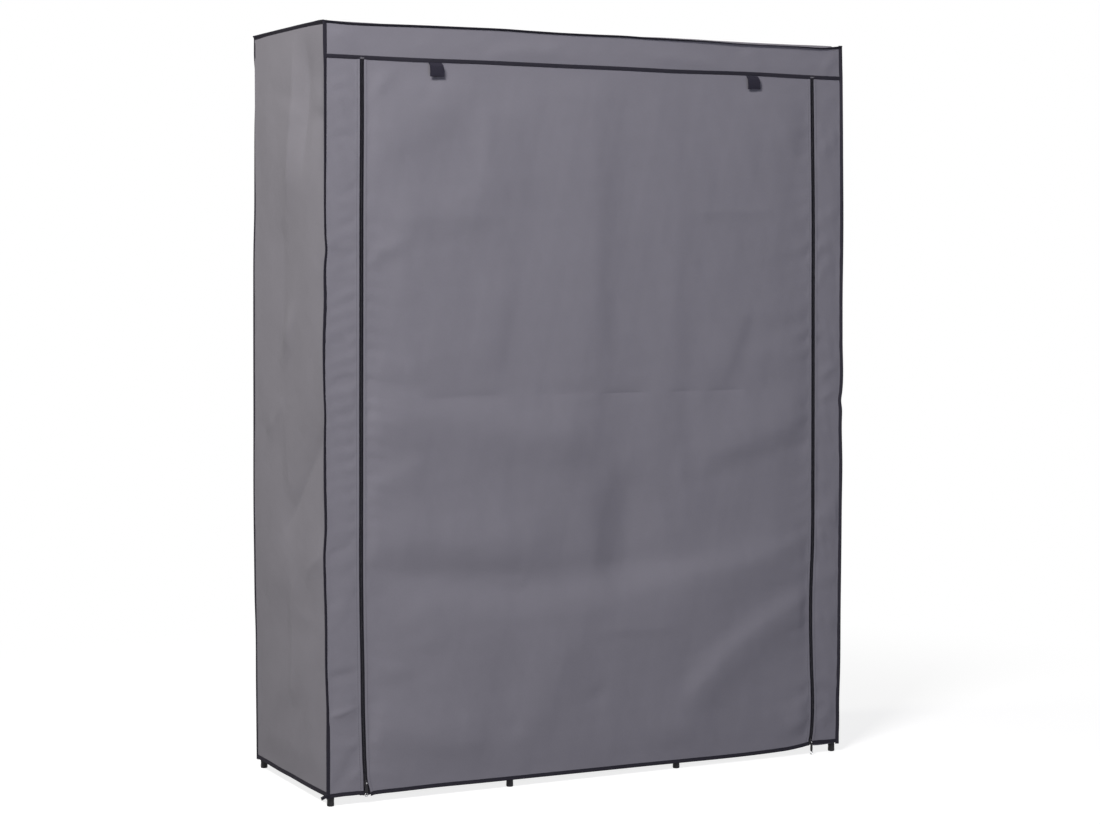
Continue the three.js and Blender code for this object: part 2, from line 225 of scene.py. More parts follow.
@dataclass
class Shell:
    """Surfaces of one piece, gathered as arrays before they become its mesh."""

    points: list[Array] = field(default_factory=list)
    quads: list[Array] = field(default_factory=list)
    triangles: list[Array] = field(default_factory=list)
    uvs: list[Array] = field(default_factory=list)
    count: int = 0

    def add(self, points: Array, quads: Array, triangles: Array, uv: Array) -> None:
        """Adds points with the faces among them.

        Args:
            points: The points.
            quads: Faces of four corners, as numbers of points from 0.
            triangles: Faces of three corners.
            uv: Each point's flat coordinates.
        """
        self.points.append(points.reshape(-1, 3))
        self.uvs.append(uv.reshape(-1, 2))
        self.quads.append(quads.reshape(-1, 4) + self.count)
        self.triangles.append(triangles.reshape(-1, 3) + self.count)
        self.count += len(self.points[-1])

    def tube(self, rings: Array, along: Array, flip: bool = False) -> None:
        """Adds a closed tube through rings of points, with a fan of triangles over each end.

        Args:
            rings: Points as rings x corners x 3. A ring turns anticlockwise as seen against the tube's run.
            along: Distance along the tube at each ring, for the map.
            flip: Turns the faces over, for rings that turn the other way.
        """
        count, corners = rings.shape[:2]
        start = np.arange((count - 1) * corners).reshape(count - 1, corners)
        after = np.roll(start, -1, axis=1)
        quads = np.stack([start, after, after + corners, start + corners], -1).reshape(-1, 4)
        ends = np.arange(corners)
        last = ends + (count - 1) * corners
        first_centre, last_centre = count * corners, count * corners + 1
        fan = [
            np.stack([np.roll(ends, -1), ends, np.full(corners, first_centre)], -1),
            np.stack([last, np.roll(last, -1), np.full(corners, last_centre)], -1),
        ]
        triangles = np.concatenate(fan)
        if flip:
            quads, triangles = quads[:, ::-1], triangles[:, ::-1]
        edges = np.linalg.norm(rings[0] - np.roll(rings[0], 1, axis=0), axis=-1)
        edges[0] = 0.0
        girth = np.broadcast_to(np.cumsum(edges), (count, corners))
        uv = np.stack([girth, np.broadcast_to(along[:, None], (count, corners))], -1).reshape(-1, 2)
        centres = np.stack([rings[0].mean(0), rings[-1].mean(0)])
        points = np.concatenate([rings.reshape(-1, 3), centres])
        self.add(points, quads, triangles, np.concatenate([uv, uv[[0, -1]]]))

    def loop(self, rings: Array) -> None:
        """Adds a closed ring, such as a torus: rings x corners x 3, joined round both ways."""
        count, corners = rings.shape[:2]
        start = np.arange(count * corners).reshape(count, corners)
        after, ahead = np.roll(start, -1, axis=1), np.roll(start, -1, axis=0)
        quads = np.stack([start, after, np.roll(after, -1, axis=0), ahead], -1)
        uv = np.stack(np.meshgrid(np.arange(corners), np.arange(count)), -1) / 1000
        self.add(rings, quads, np.zeros((0, 3), int), uv)

    def sheet(self, face: Array, back: Array, uv: Array) -> None:
        """Adds a closed sheet between two grids of points, joined round the rim.

        Args:
            face: The outer points as rows x columns x 3. Columns cross rows as X crosses Z on the front.
            back: The inner points.
            uv: The sheet's flat coordinates as rows x columns x 2.
        """
        rows, columns = face.shape[:2]
        index = np.arange(rows * columns).reshape(rows, columns)
        cells = np.stack([index[:-1, :-1], index[:-1, 1:], index[1:, 1:], index[1:, :-1]], -1).reshape(-1, 4)
        rim = np.concatenate([index[0, :-1], index[:-1, -1], index[-1, :0:-1], index[:0:-1, 0]])
        after = np.roll(rim, -1)
        inner = rows * columns
        walls = np.stack([rim, rim + inner, after + inner, after], -1)
        quads = np.concatenate([cells, cells[:, ::-1] + inner, walls])
        none = np.zeros((0, 3), int)
        self.add(np.concatenate([face.reshape(-1, 3), back.reshape(-1, 3)]), quads, none, np.concatenate([uv, uv]))

    def copies(self, shape: Shell, places: Array, turns: Array) -> None:
        """Adds a small shape at many places: each point is turned, then moved.

        Args:
            shape: The shape round the origin.
            places: One point for each copy.
            turns: One 3 x 3 matrix for each copy, whose columns are the shape's axes there.
        """
        points, uv = np.concatenate(shape.points), np.concatenate(shape.uvs)
        moved = np.einsum("nij,pj->npi", turns, points) + places[:, None, :]
        step = np.arange(len(places))[:, None, None] * len(points)
        quads = np.concatenate(shape.quads)[None] + step
        triangles = np.concatenate(shape.triangles)[None] + step
        self.add(moved, quads, triangles, np.tile(uv, (len(places), 1)))

    def make(self, name: str) -> Piece:
        """Makes the piece's object, smooth but for its sharp edges, with its flat coordinates as a UV map."""
        quads, triangles = np.concatenate(self.quads), np.concatenate(self.triangles)
        corners = np.concatenate([quads.ravel(), triangles.ravel()])
        sizes = np.concatenate([np.full(len(quads), 4), np.full(len(triangles), 3)])
        mesh = bpy.data.meshes.new(name)
        mesh.vertices.add(self.count)
        mesh.vertices.foreach_set("co", np.concatenate(self.points).astype(np.float32).ravel())
        mesh.loops.add(len(corners))
        mesh.loops.foreach_set("vertex_index", corners.astype(np.int32))
        mesh.polygons.add(len(sizes))
        mesh.polygons.foreach_set("loop_start", (np.cumsum(sizes) - sizes).astype(np.int32))
        mesh.uv_layers.new(name="flat").uv.foreach_set(
            "vector", np.concatenate(self.uvs)[corners].astype(np.float32).ravel()
        )
        mesh.update(calc_edges=True)
        mesh.validate()
        mesh.shade_smooth()
        mesh.set_sharp_from_angle(angle=SHARP_EDGE)
        return placed(name, mesh)


def sweep(shell: Shell, path: Array, profile: Array, wide: Array, tall: Array) -> None:
    """Carries a closed profile along a path: each point is path + wide * profile x + tall * profile y.

    Args:
        shell: Gets the surface.
        path: The path's points.
        profile: The profile's points, anticlockwise in (wide, tall), with wide x tall along the path.
        wide: The profile's first axis at each path point.
        tall: The profile's second axis at each path point.
    """
    rings = path[:, None] + profile[None, :, :1] * wide[:, None] + profile[None, :, 1:] * tall[:, None]
    shell.tube(rings, travel(path))


def loft(
    shell: Shell, path: Array, wide: Array, tall: Array, halves: Array, sides: int = 16, corner: float = 0.6
) -> None:
    """A closed form through rounded sections: a superellipse at each path point.

    A point of the ring at turn t is path + wide * a * |cos t|^corner + tall * b * |sin t|^corner, with signs.

    Args:
        shell: Gets the surface.
        path: The sections' centres.
        wide: The sections' first axis, one for all.
        tall: Their second axis, with wide x tall along the path.
        halves: The half width a and half height b of each section, as rows.
        sides: Points of a section.
        corner: 1 gives ellipses, less gives squarer sections.
    """
    turn = np.linspace(0, FULL_TURN, sides, endpoint=False)
    first = np.sign(np.cos(turn)) * np.abs(np.cos(turn)) ** corner
    second = np.sign(np.sin(turn)) * np.abs(np.sin(turn)) ** corner
    across = (halves[:, :1] * first)[..., None] * wide
    along = (halves[:, 1:] * second)[..., None] * tall
    shell.tube(path[:, None] + across + along, travel(path))


def rod(shell: Shell, start: Vector, end: Vector, radii: Curve, stations: Array) -> None:
    """A round solid between two points: at each station's share of the length it has the radius given there.

    Args:
        shell: Gets the surface.
        start: Centre of the first end.
        end: Centre of the last end.
        radii: Radius at each distance from the start.
        stations: Distances from the start, rising.
    """
    axis = (end - start).normalized()
    side = axis.orthogonal().normalized()
    turn = np.linspace(0, FULL_TURN, ROUND_SIDES, endpoint=False)
    spokes = np.outer(np.cos(turn), side) + np.outer(np.sin(turn), axis.cross(side))
    centres = np.array(start)[None] + stations[:, None] * np.array(axis)
    rings = centres[:, None] + radii(stations)[:, None, None] * spokes[None]
    shell.tube(rings, stations)


def plain_rod(shell: Shell, start: Vector, end: Vector, radius: float, edge: float) -> None:
    """A round bar whose two ends are rounded over: within the edge's length the radius follows a quarter circle.

    Args:
        shell: Gets the surface.
        start: Centre of the first end.
        end: Centre of the last end.
        radius: The bar's radius.
        edge: Radius of the round at its ends.
    """
    length = (end - start).length
    bend = np.sin(np.linspace(0, math.pi / 2, 5))[1:] * edge
    near = np.concatenate([[0.0], bend])
    middle = np.linspace(edge, length - edge, max(3, round(length / 0.25)))[1:-1]
    stations = np.concatenate([near, middle, length - near[::-1]])

    def radii(place: Array) -> Array:
        """The bar's radius less what the round takes: r - e + sqrt(e^2 - (e - d)^2), d from the nearer end."""
        inset = np.clip(edge - np.minimum(place, length - place), 0, edge)
        return radius - edge + np.sqrt(np.maximum(edge**2 - inset**2, 0))

    rod(shell, start, end, radii, stations)


# Materials


@dataclass(frozen=True)
class Signal:
    """One output socket, so that shader maths reads as Python maths."""

    tree: ShaderTree
    socket: bpy.types.NodeSocket

    def maths(self, operation: str, *values: Signal | float) -> Signal:
        """A Math node on the values."""
        return self.tree.node("ShaderNodeMath", {"operation": operation}, dict(enumerate(values)))

    def __add__(self, other: Signal | float) -> Signal:
        """self + other."""
        return self.maths("ADD", self, other)

    def __sub__(self, other: Signal | float) -> Signal:
        """self - other."""
        return self.maths("SUBTRACT", self, other)

    def __rsub__(self, other: float) -> Signal:
        """other - self."""
        return self.maths("SUBTRACT", other, self)

    def __mul__(self, other: Signal | float) -> Signal:
        """self * other."""
        return self.maths("MULTIPLY", self, other)

    __radd__ = __add__
    __rmul__ = __mul__

    def cosine(self) -> Signal:
        """cos(self)."""
        return self.maths("COSINE", self)

    def rising(self, low: float, high: float) -> Signal:
        """0 below low, 1 above high and smooth between."""
        settings = {"interpolation_type": "SMOOTHSTEP"}
        return self.tree.node("ShaderNodeMapRange", settings, {"Value": self, "From Min": low, "From Max": high})


class ShaderTree:
    """The node tree of one new material."""

    def __init__(self, name: str) -> None:
        """Makes an empty material of that name."""
        self.material = bpy.data.materials.new(name)
        self.material.use_nodes = True
        self.material.node_tree.nodes.clear()

    def node(
        self,
        kind: str,
        settings: dict[str, object] | None = None,
        inputs: dict[str | int, object] | None = None,
        output: str | int = 0,
    ) -> Signal:
        """Adds a node.

        Args:
            kind: The node's type.
            settings: Its settings, set first.
            inputs: Values or signals for its sockets.
            output: The socket that is returned.

        Returns:
            That output socket.
        """
        made = self.material.node_tree.nodes.new(kind)
        for key, value in (settings or {}).items():
            setattr(made, key, value)
        for key, value in (inputs or {}).items():
            if isinstance(value, Signal):
                self.material.node_tree.links.new(value.socket, made.inputs[key])
            else:
                made.inputs[key].default_value = value
        return Signal(self, made.outputs[output] if made.outputs else None)

    def flat_place(self) -> Signal:
        """The piece's flat coordinates, in metres."""
        return self.node("ShaderNodeTexCoord", output="UV")

    def solid_place(self) -> Signal:
        """The piece's own coordinates in space, in metres."""
        return self.node("ShaderNodeTexCoord", output="Object")

    def stretched(self, place: Signal, scale: tuple[float, float, float]) -> Signal:
        """Coordinates scaled by an amount for each axis."""
        settings = {"operation": "MULTIPLY"}
        return self.node("ShaderNodeVectorMath", settings, {0: place, 1: scale})

    def noise(self, place: Signal, size: float, detail: float = 2.0, rough: float = 0.5) -> Signal:
        """Noise from -1 to 1.

        Args:
            place: Coordinates.
            size: About the size of its features.
            detail: How many finer layers it has.
            rough: How strong they are.

        Returns:
            The noise.
        """
        inputs = {"Vector": place, "Scale": 1 / size, "Detail": detail, "Roughness": rough}
        return self.node("ShaderNodeTexNoise", None, inputs) * 2.0 - 1.0

    def axes(self, place: Signal) -> tuple[Signal, Signal]:
        """The first two coordinates of a place."""
        return tuple(self.node("ShaderNodeSeparateXYZ", None, {0: place}, axis) for axis in ("X", "Y"))

    def shade(self, colour: Colour, factor: Signal) -> Signal:
        """A colour times a factor that varies."""
        settings = {"operation": "SCALE"}
        return self.node("ShaderNodeVectorMath", settings, {0: colour, "Scale": factor})

    def bump(self, height: Signal) -> Signal:
        """A normal from a height in millimetres."""
        return self.node("ShaderNodeBump", None, {"Height": height, "Distance": 0.001, "Strength": 1.0})

    def surface(self, inputs: dict[str | int, object]) -> None:
        """Ends the tree in a Principled shader with these inputs."""
        shader = self.node("ShaderNodeBsdfPrincipled", None, inputs)
        self.node("ShaderNodeOutputMaterial", None, {"Surface": shader})


class Finish:
    """What a surface is made of. Each kind paints its own shader tree."""

    def paint(self, tree: ShaderTree) -> None:
        """Builds the finish's nodes."""
        raise NotImplementedError


@cache
def material_of(finish: Finish) -> bpy.types.Material:
    """The one material of a finish."""
    tree = ShaderTree(finish.name)
    finish.paint(tree)
    return tree.material


@dataclass(frozen=True)
class Nonwoven(Finish):
    """Spunbond cloth: a web of fibres, pressed in a fine lattice of bond points, a little mottled."""

    name: str = "nonwoven_cloth"
    tint: Colour = (0.206, 0.199, 0.223)
    bond_pitch: float = 0.0017
    fibre: float = 0.0024

    def paint(self, tree: ShaderTree) -> None:
        """Mottling, web and bonds in colour; web, bonds and soft wrinkles in relief."""
        flat = tree.flat_place()
        mottle = tree.noise(flat, 0.09, 3.0)
        web = tree.noise(tree.stretched(flat, (1.0, 0.45, 1.0)), self.fibre, 4.0, 0.7)
        across, up = tree.axes(flat)
        rate = FULL_TURN / self.bond_pitch / 2
        bonds = (((across + up) * rate).cosine() * ((across - up) * rate).cosine()).rising(0.35, 0.8)
        wrinkle = tree.noise(flat, 0.03, 2.0)
        factor = 1.0 + mottle * 0.03 + web * 0.07 - bonds * 0.05
        tree.surface({
            "Base Color": tree.shade(self.tint, factor),
            "Roughness": 0.92,
            "Specular IOR Level": 0.12,
            "Normal": tree.bump(web * 0.035 - bonds * 0.05 + wrinkle * 0.12),
        })


@dataclass(frozen=True)
class Tape(Finish):
    """Woven tape: fine slanted ribs under a soft fuzz."""

    name: str = "woven_tape"
    tint: Colour = (0.034, 0.032, 0.041)
    rib: float = 0.0008

    def paint(self, tree: ShaderTree) -> None:
        """Slanted ribs and a soft fuzz, both in colour and relief."""
        girth, along = tree.axes(tree.flat_place())
        ribs = ((along + girth * 0.6) * (FULL_TURN / self.rib)).cosine()
        fuzz = tree.noise(tree.flat_place(), 0.004, 3.0, 0.7)
        tree.surface({
            "Base Color": tree.shade(self.tint, 1.0 + ribs * 0.16 + fuzz * 0.25),
            "Roughness": 0.9,
            "Specular IOR Level": 0.03,
            "Normal": tree.bump(ribs * 0.05 + fuzz * 0.05),
        })


@dataclass(frozen=True)
class Moulding(Finish):
    """Moulded plastic or nylon: a fine grain, and a few paler scuffs."""

    name: str = "moulded_plastic"
    tint: Colour = (0.014, 0.013, 0.015)
    roughness: float = 0.5
    grain: float = 0.0009
    scuffs: float = 0.35
    gloss: float = 0.4

    def paint(self, tree: ShaderTree) -> None:
        """Grain in relief, scuffs in colour and roughness."""
        place = tree.solid_place()
        grain = tree.noise(place, self.grain, 2.0)
        scuff = tree.noise(place, 0.012, 5.0, 0.75).rising(0.15, 0.6)
        tree.surface({
            "Base Color": tree.shade(self.tint, 1.0 + scuff * self.scuffs + grain * 0.06),
            "Roughness": scuff * 0.12 + self.roughness,
            "Specular IOR Level": self.gloss,
            "Normal": tree.bump(grain * 0.025),
        })


@dataclass(frozen=True)
class Coating(Finish):
    """Powder coat on steel: the faint ripple of baked powder, with a dull bloom."""

    name: str = "powder_coat"
    tint: Colour = (0.42, 0.43, 0.45)
    roughness: float = 0.38

    def paint(self, tree: ShaderTree) -> None:
        """Ripple in relief, bloom in colour and roughness."""
        place = tree.solid_place()
        ripples = tree.noise(place, 0.0016, 1.0)
        bloom = tree.noise(place, 0.05, 4.0, 0.6)
        tree.surface({
            "Base Color": tree.shade(self.tint, 1.0 + bloom * 0.05 + ripples * 0.02),
            "Roughness": bloom * 0.06 + self.roughness,
            "Coat Weight": 0.2,
            "Normal": tree.bump(ripples * 0.02),
        })


@dataclass(frozen=True)
class Enamel(Finish):
    """Black enamel on cast zinc, worn to bright metal where it rubs."""

    name: str = "black_enamel"
    tint: Colour = (0.022, 0.021, 0.023)
    metal: Colour = (0.62, 0.62, 0.63)
    wear: float = 0.75

    def paint(self, tree: ShaderTree) -> None:
        """Wear mixes enamel and bare metal in colour, metallic and roughness."""
        place = tree.solid_place()
        worn = tree.noise(place, 0.0035, 4.0, 0.7).rising(self.wear - 0.3, self.wear)
        mixed = tree.node(
            "ShaderNodeMix",
            {"data_type": "RGBA"},
            {0: worn, 6: (*self.tint, 1.0), 7: (*self.metal, 1.0)},
            2,
        )
        tree.surface({
            "Base Color": mixed,
            "Metallic": worn * 0.9,
            "Roughness": 0.5 - worn * 0.2,
            "Specular IOR Level": 0.2,
            "Normal": tree.bump(tree.noise(place, 0.001, 2.0) * 0.01),
        })


COVER_CLOTH = Nonwoven()
SHELF_CLOTH = Nonwoven("shelf_nonwoven", (0.185, 0.18, 0.205))
BINDING = Tape()
ZIP_TAPE = Tape("zip_tape_weave", (0.025, 0.0235, 0.032), 0.0006)
COIL = Moulding("nylon_coil", (0.019, 0.018, 0.024), 0.36, 0.0005, 0.2)
THREAD = Moulding("sewing_thread", (0.06, 0.057, 0.068), 0.75, 0.0004, 0.3)
PALE_THREAD = Moulding("tack_thread", (0.15, 0.145, 0.16), 0.75, 0.0004, 0.3)
FITTING = Moulding(gloss=0.22)
STEEL = Coating()
STRAP = Tape("ribbon_weave", (0.033, 0.031, 0.043), 0.0009)
ZINC = Enamel()
RING = Enamel("worn_ring", (0.25, 0.25, 0.255), (0.7, 0.7, 0.71), 0.2)
SLOTS = {
    "cover_cloth": (COVER_CLOTH,),
    "shelf_cloth": (SHELF_CLOTH,),
    "binding": (BINDING, STRAP),
    "zip_tape": (ZIP_TAPE, COIL, THREAD, PALE_THREAD),
    "connector_plastic": (FITTING,),
    "steel_tube": (STEEL,),
    "zip_metal": (ZINC, RING),
}
SLOT_OF = {finish: slot for slot, finishes in SLOTS.items() for finish in finishes}


def dress(piece: Piece, finish: Finish, node: str = "", body: str = ROOT) -> Piece:
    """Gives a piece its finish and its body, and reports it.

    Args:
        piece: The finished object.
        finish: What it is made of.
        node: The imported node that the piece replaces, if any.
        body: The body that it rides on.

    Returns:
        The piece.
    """
    piece.data.materials.append(material_of(finish))
    if node:
        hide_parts(node)
    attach(piece, body)
    LOG.info("%s: %d faces, rides on %s", piece.name, len(piece.data.polygons), body)
    return piece


# Folds


class FoldForm(Enum):
    """How a fold meets the flat cloth."""

    SOFT = "rounded on top"
    CREASE = "a pressed line"


SOFT, CREASE = FoldForm.SOFT, FoldForm.CREASE


@dataclass(frozen=True)
class Fold:
    """A fold of the cloth along a route of (across, up) points: a rise, or a hollow where depth is negative."""

    route: tuple[Place, ...]
    depth: float
    width: float
    far_width: float = 0.0
    form: FoldForm = SOFT
    taper_share: float = 0.3

    BLUR_LIMITS = (0.008, 0.018)
    ROUTE_POINTS = 60
    LEAST_STEPS = 8

    def relief(self, across: Array, up: Array) -> Array:
        """How far the fold stands out at each place: its section, blurred along the route.

        The sum over points of the route of depth * fade * exp(-a^2 / s^2) * f(b / width), times their spacing over
        s sqrt(pi). There a is the distance along the route's run at the point, b the distance beside it, s the
        narrower width but from 8 to 18 mm, and f(t) = exp(-t^2), or exp(-|t|) for a crease. The fade runs out
        towards both ends. far_width is the width on the right of the run, where it differs.
        """
        far = self.far_width or self.width
        blur = float(np.clip(min(self.width, far), *self.BLUR_LIMITS))
        line = spline(np.array(self.route), self.ROUTE_POINTS)
        length = travel(line)[-1]
        places = np.linspace(0, length, max(self.LEAST_STEPS, math.ceil(length / (0.6 * blur))))
        points = spaced(line, places)
        run = runs_of(points)
        fade = smooth(np.minimum(places, length - places) / (length * self.taper_share))
        share = (places[1] - places[0]) / (blur * math.sqrt(math.pi))
        total = np.zeros_like(across)
        for point, way, weight in zip(points, run, fade * share * self.depth):
            x, y = across - point[0], up - point[1]
            along, beside = x * way[0] + y * way[1], y * way[0] - x * way[1]
            section = np.abs(beside) / np.where(beside > 0, self.width, far)
            power = section if self.form is CREASE else section**2
            total += weight * np.exp(-((along / blur) ** 2) - power)
        return total


LINE_STEPS = np.array([-0.006, -0.0035, -0.0015, 0.0, 0.0015, 0.0035, 0.006])
LINE_CLEAR = 0.008


def stations(
    low: float, high: float, step: float, marks: tuple[float, ...] = (), lines: tuple[float, ...] = ()
) -> Array:
    """Places from low to high, evenly spaced but for the closer ones at both ends and at pressed lines.

    Args:
        low: The first place.
        high: The last place.
        step: The even spacing.
        marks: Distances from both ends that get a place.
        lines: Pressed lines. At each, LINE_STEPS take the place of the even ones within LINE_CLEAR.

    Returns:
        The places, rising.
    """
    even = np.linspace(low, high, max(2, round((high - low) / step)) + 1)
    marked = np.array(marks)
    reach = max(marks, default=0.0)
    inner = even[(even > low + reach + step / 3) & (even < high - reach - step / 3)]
    for line in lines:
        inner = np.concatenate([inner[np.abs(inner - line) > LINE_CLEAR], line + LINE_STEPS])
    return np.concatenate([[low], low + marked, np.sort(inner), high - marked[::-1], [high]])


@dataclass(frozen=True)
class Edge:
    """An upright edge of a panel: a corner or a seam that drifts from its straight line."""

    x: float
    y: float
    drift: Wander = Wander()
    along: Colour = (1.0, 0.0, 0.0)

    def line(self, up: Array) -> Array:
        """Points of the straight line at those heights."""
        return joined(self.x, self.y, up)

    def shift(self, up: Array) -> Array:
        """The drift at those heights, along the edge's own direction."""
        return self.drift(up)[..., None] * np.array(self.along)

    def at(self, up: Array) -> Array:
        """The edge's points at those heights: its line plus the drift."""
        return self.line(up) + self.shift(up)


@dataclass(frozen=True)
class Prop:
    """A tube of the frame close behind a wall, from one (across, up) place to another, and the floor it gives."""

    low: Place
    high: Place
    floor: float = -0.0028
    reach: float = 0.03

    def nearness(self, across: Array, up: Array) -> Array:
        """1 in front of the tube, and exp(-(d / reach)^2) at the distance d beside it."""
        beside = np.maximum(np.maximum(self.low[0] - across, across - self.high[0]), 0)
        above = np.maximum(np.maximum(self.low[1] - up, up - self.high[1]), 0)
        return np.exp(-(beside**2 + above**2) / self.reach**2)


def level_at(height: float) -> Curve:
    """A border that is straight and level."""
    return lambda across: np.full_like(across, height)


@dataclass(frozen=True)
class Panel:
    """A hanging panel between two upright edges, with folds that stand out from its wall."""

    name: str
    start: Edge
    end: Edge
    low: Curve
    high: Curve
    outward: Colour
    half_span: float
    middle: float = 0.0
    folds: tuple[Fold, ...] = ()
    extra: Relief | None = None
    sewn: Relief | None = None
    belly: float = 0.002
    hold: tuple[float, float, float, float] = (0.05, 0.05, 0.05, 0.05)
    thickness: float = 0.0009
    step: float = 0.0075
    marks: tuple[float, ...] = (0.0015, 0.004, 0.008, 0.0105, 0.0125, 0.016, 0.022)
    lines: tuple[tuple[float, ...], tuple[float, ...]] = ((), ())
    props: tuple[Prop, ...] = ()
    deepest: float = -0.0015
    drift_reach: float = 0.1

    def relief(self, across: Array, up: Array) -> Array:
        """The cloth's rise over its wall: the belly, folds and extra, held flat at the four borders, plus what is sewn.

        hold gives the distance over which each border holds the folds: start, end, low and high. It holds the
        belly over three times that. The floor is the deepest level, or a tube's own in front of it, and the rise
        levels off softly towards it: floor + s * log(1 + exp((rise - floor) / s)).
        """
        total = sum((fold.relief(across, up) for fold in self.folds), np.zeros_like(across))
        if self.extra:
            total = total + self.extra(across, up)
        belly = self.belly
        left, right = across - self.middle + self.half_span, self.half_span - across + self.middle
        below, above = up - self.low(across), self.high(across) - up
        for distance, reach in zip((left, right, below, above), self.hold):
            total = total * smooth(distance / reach)
            belly = belly * smooth(distance / (3 * reach))
        total = total + belly
        if self.sewn:
            total = total + self.sewn(across, up)
        floor, softness = np.full_like(across, self.deepest), 0.0008
        for prop in self.props:
            floor = np.maximum(floor, self.deepest + (prop.floor - self.deepest) * prop.nearness(across, up))
        return floor + softness * np.logaddexp(0, (total - floor) / softness)

    def locate(self, across: Array, up: Array) -> Array:
        """Points of the outer face: between the edges' lines by the share across, plus drift and relief.

        Each edge's drift runs out within the drift's reach, or over the whole width where that is less.
        """
        share = ((across - self.middle) / self.half_span + 1)[..., None] / 2
        near = max(1.0, 2 * self.half_span / self.drift_reach)
        wall = self.start.line(up) * (1 - share) + self.end.line(up) * share
        wall += self.start.shift(up) * smooth(1 - share * near) + self.end.shift(up) * smooth(1 - (1 - share) * near)
        return wall + self.relief(across, up)[..., None] * np.array(self.outward)

    def make(self) -> Piece:
        """The panel as a closed sheet of its thickness."""
        first, last = self.middle - self.half_span, self.middle + self.half_span
        columns = stations(first, last, self.step, self.marks, self.lines[0])
        low, high = self.low(columns), self.high(columns)
        bottom, top = float(np.median(low)), float(np.median(high))
        rows = (stations(bottom, top, self.step, (), self.lines[1]) - bottom) / (top - bottom)
        across = np.broadcast_to(columns, (len(rows), len(columns)))
        up = low + rows[:, None] * (high - low)
        face = self.locate(across, up)
        shell = Shell()
        back = face - self.thickness * np.array(self.outward)
        shell.sheet(face, back, np.stack([across, up], -1).reshape(-1, 2))
        return shell.make(self.name)


# Trim


@dataclass(frozen=True)
class TapeSection:
    """The section of a folded tape: a flat loop with one round end, open cloth between its layers."""

    width: float = 0.0082
    thickness: float = 0.0019
    round_steps: int = 5

    def profile(self) -> Array:
        """Points round the section, from its root at 0 to its round tip at the width.

        Two long sides a thickness apart and half a circle at the tip, with a slight waist between.
        """
        half = self.thickness / 2
        turn = np.linspace(-math.pi / 2, math.pi / 2, self.round_steps)
        tip = np.stack([self.width - half + half * np.cos(turn), half * np.sin(turn)], -1)
        side = np.array([[0.0, -half], [self.width * 0.3, -half * 0.72], [self.width * 0.6, -half * 0.8]])
        return np.concatenate([side, tip, side[::-1] * [1, -1]])


def flange(path: Array, out: Array, root: float = 0.0022, section: TapeSection | None = None) -> Shell:
    """A binding along an edge: the tape's section runs along the path with its width towards out.

    Args:
        path: The edge's points.
        out: The direction that the tape points in: one for all of them, or one at each.
        root: How far the tape reaches behind the edge.
        section: The tape's section.

    Returns:
        The shell.
    """
    run = runs_of(path)
    wide = square_to(run, out)
    shell = Shell()
    sweep(shell, path - wide * root, (section or TapeSection()).profile(), wide, np.cross(run, wide))
    return shell


@dataclass(frozen=True)
class Seam:
    """A row of stitches on a surface."""

    pitch: float = 0.0036
    length: float = 0.0027
    radius: float = 0.0004

    def stitch(self) -> Shell:
        """One stitch along X: a five-sided thread whose ends dip and close."""
        shell = Shell()
        place = np.array([-0.5, -0.3, 0.3, 0.5]) * self.length
        size = np.array([0.4, 1.0, 1.0, 0.4]) * self.radius
        turn = np.linspace(0, FULL_TURN, 5, endpoint=False)
        ring = joined(0.0, np.cos(turn), np.sin(turn))
        rings = ring[None] * size[:, None, None] + place[:, None, None] * X_WAY
        rings[:, :, 2] += (size - self.radius)[:, None] * 0.8
        shell.tube(rings, place)
        return shell

    def along(self, shell: Shell, path: Array, outward: Colour) -> None:
        """Sews along a path of points, with the stitches lying on the side that outward points to."""
        centres = spaced(path, np.arange(self.pitch, travel(path)[-1] - self.pitch / 2, self.pitch))
        run = runs_of(centres)
        normal = square_to(run, np.array(outward))
        turns = np.stack([run, np.cross(normal, run), normal], -1)
        shell.copies(self.stitch(), centres + normal * self.radius * 0.4, turns)


# Folds of each wall


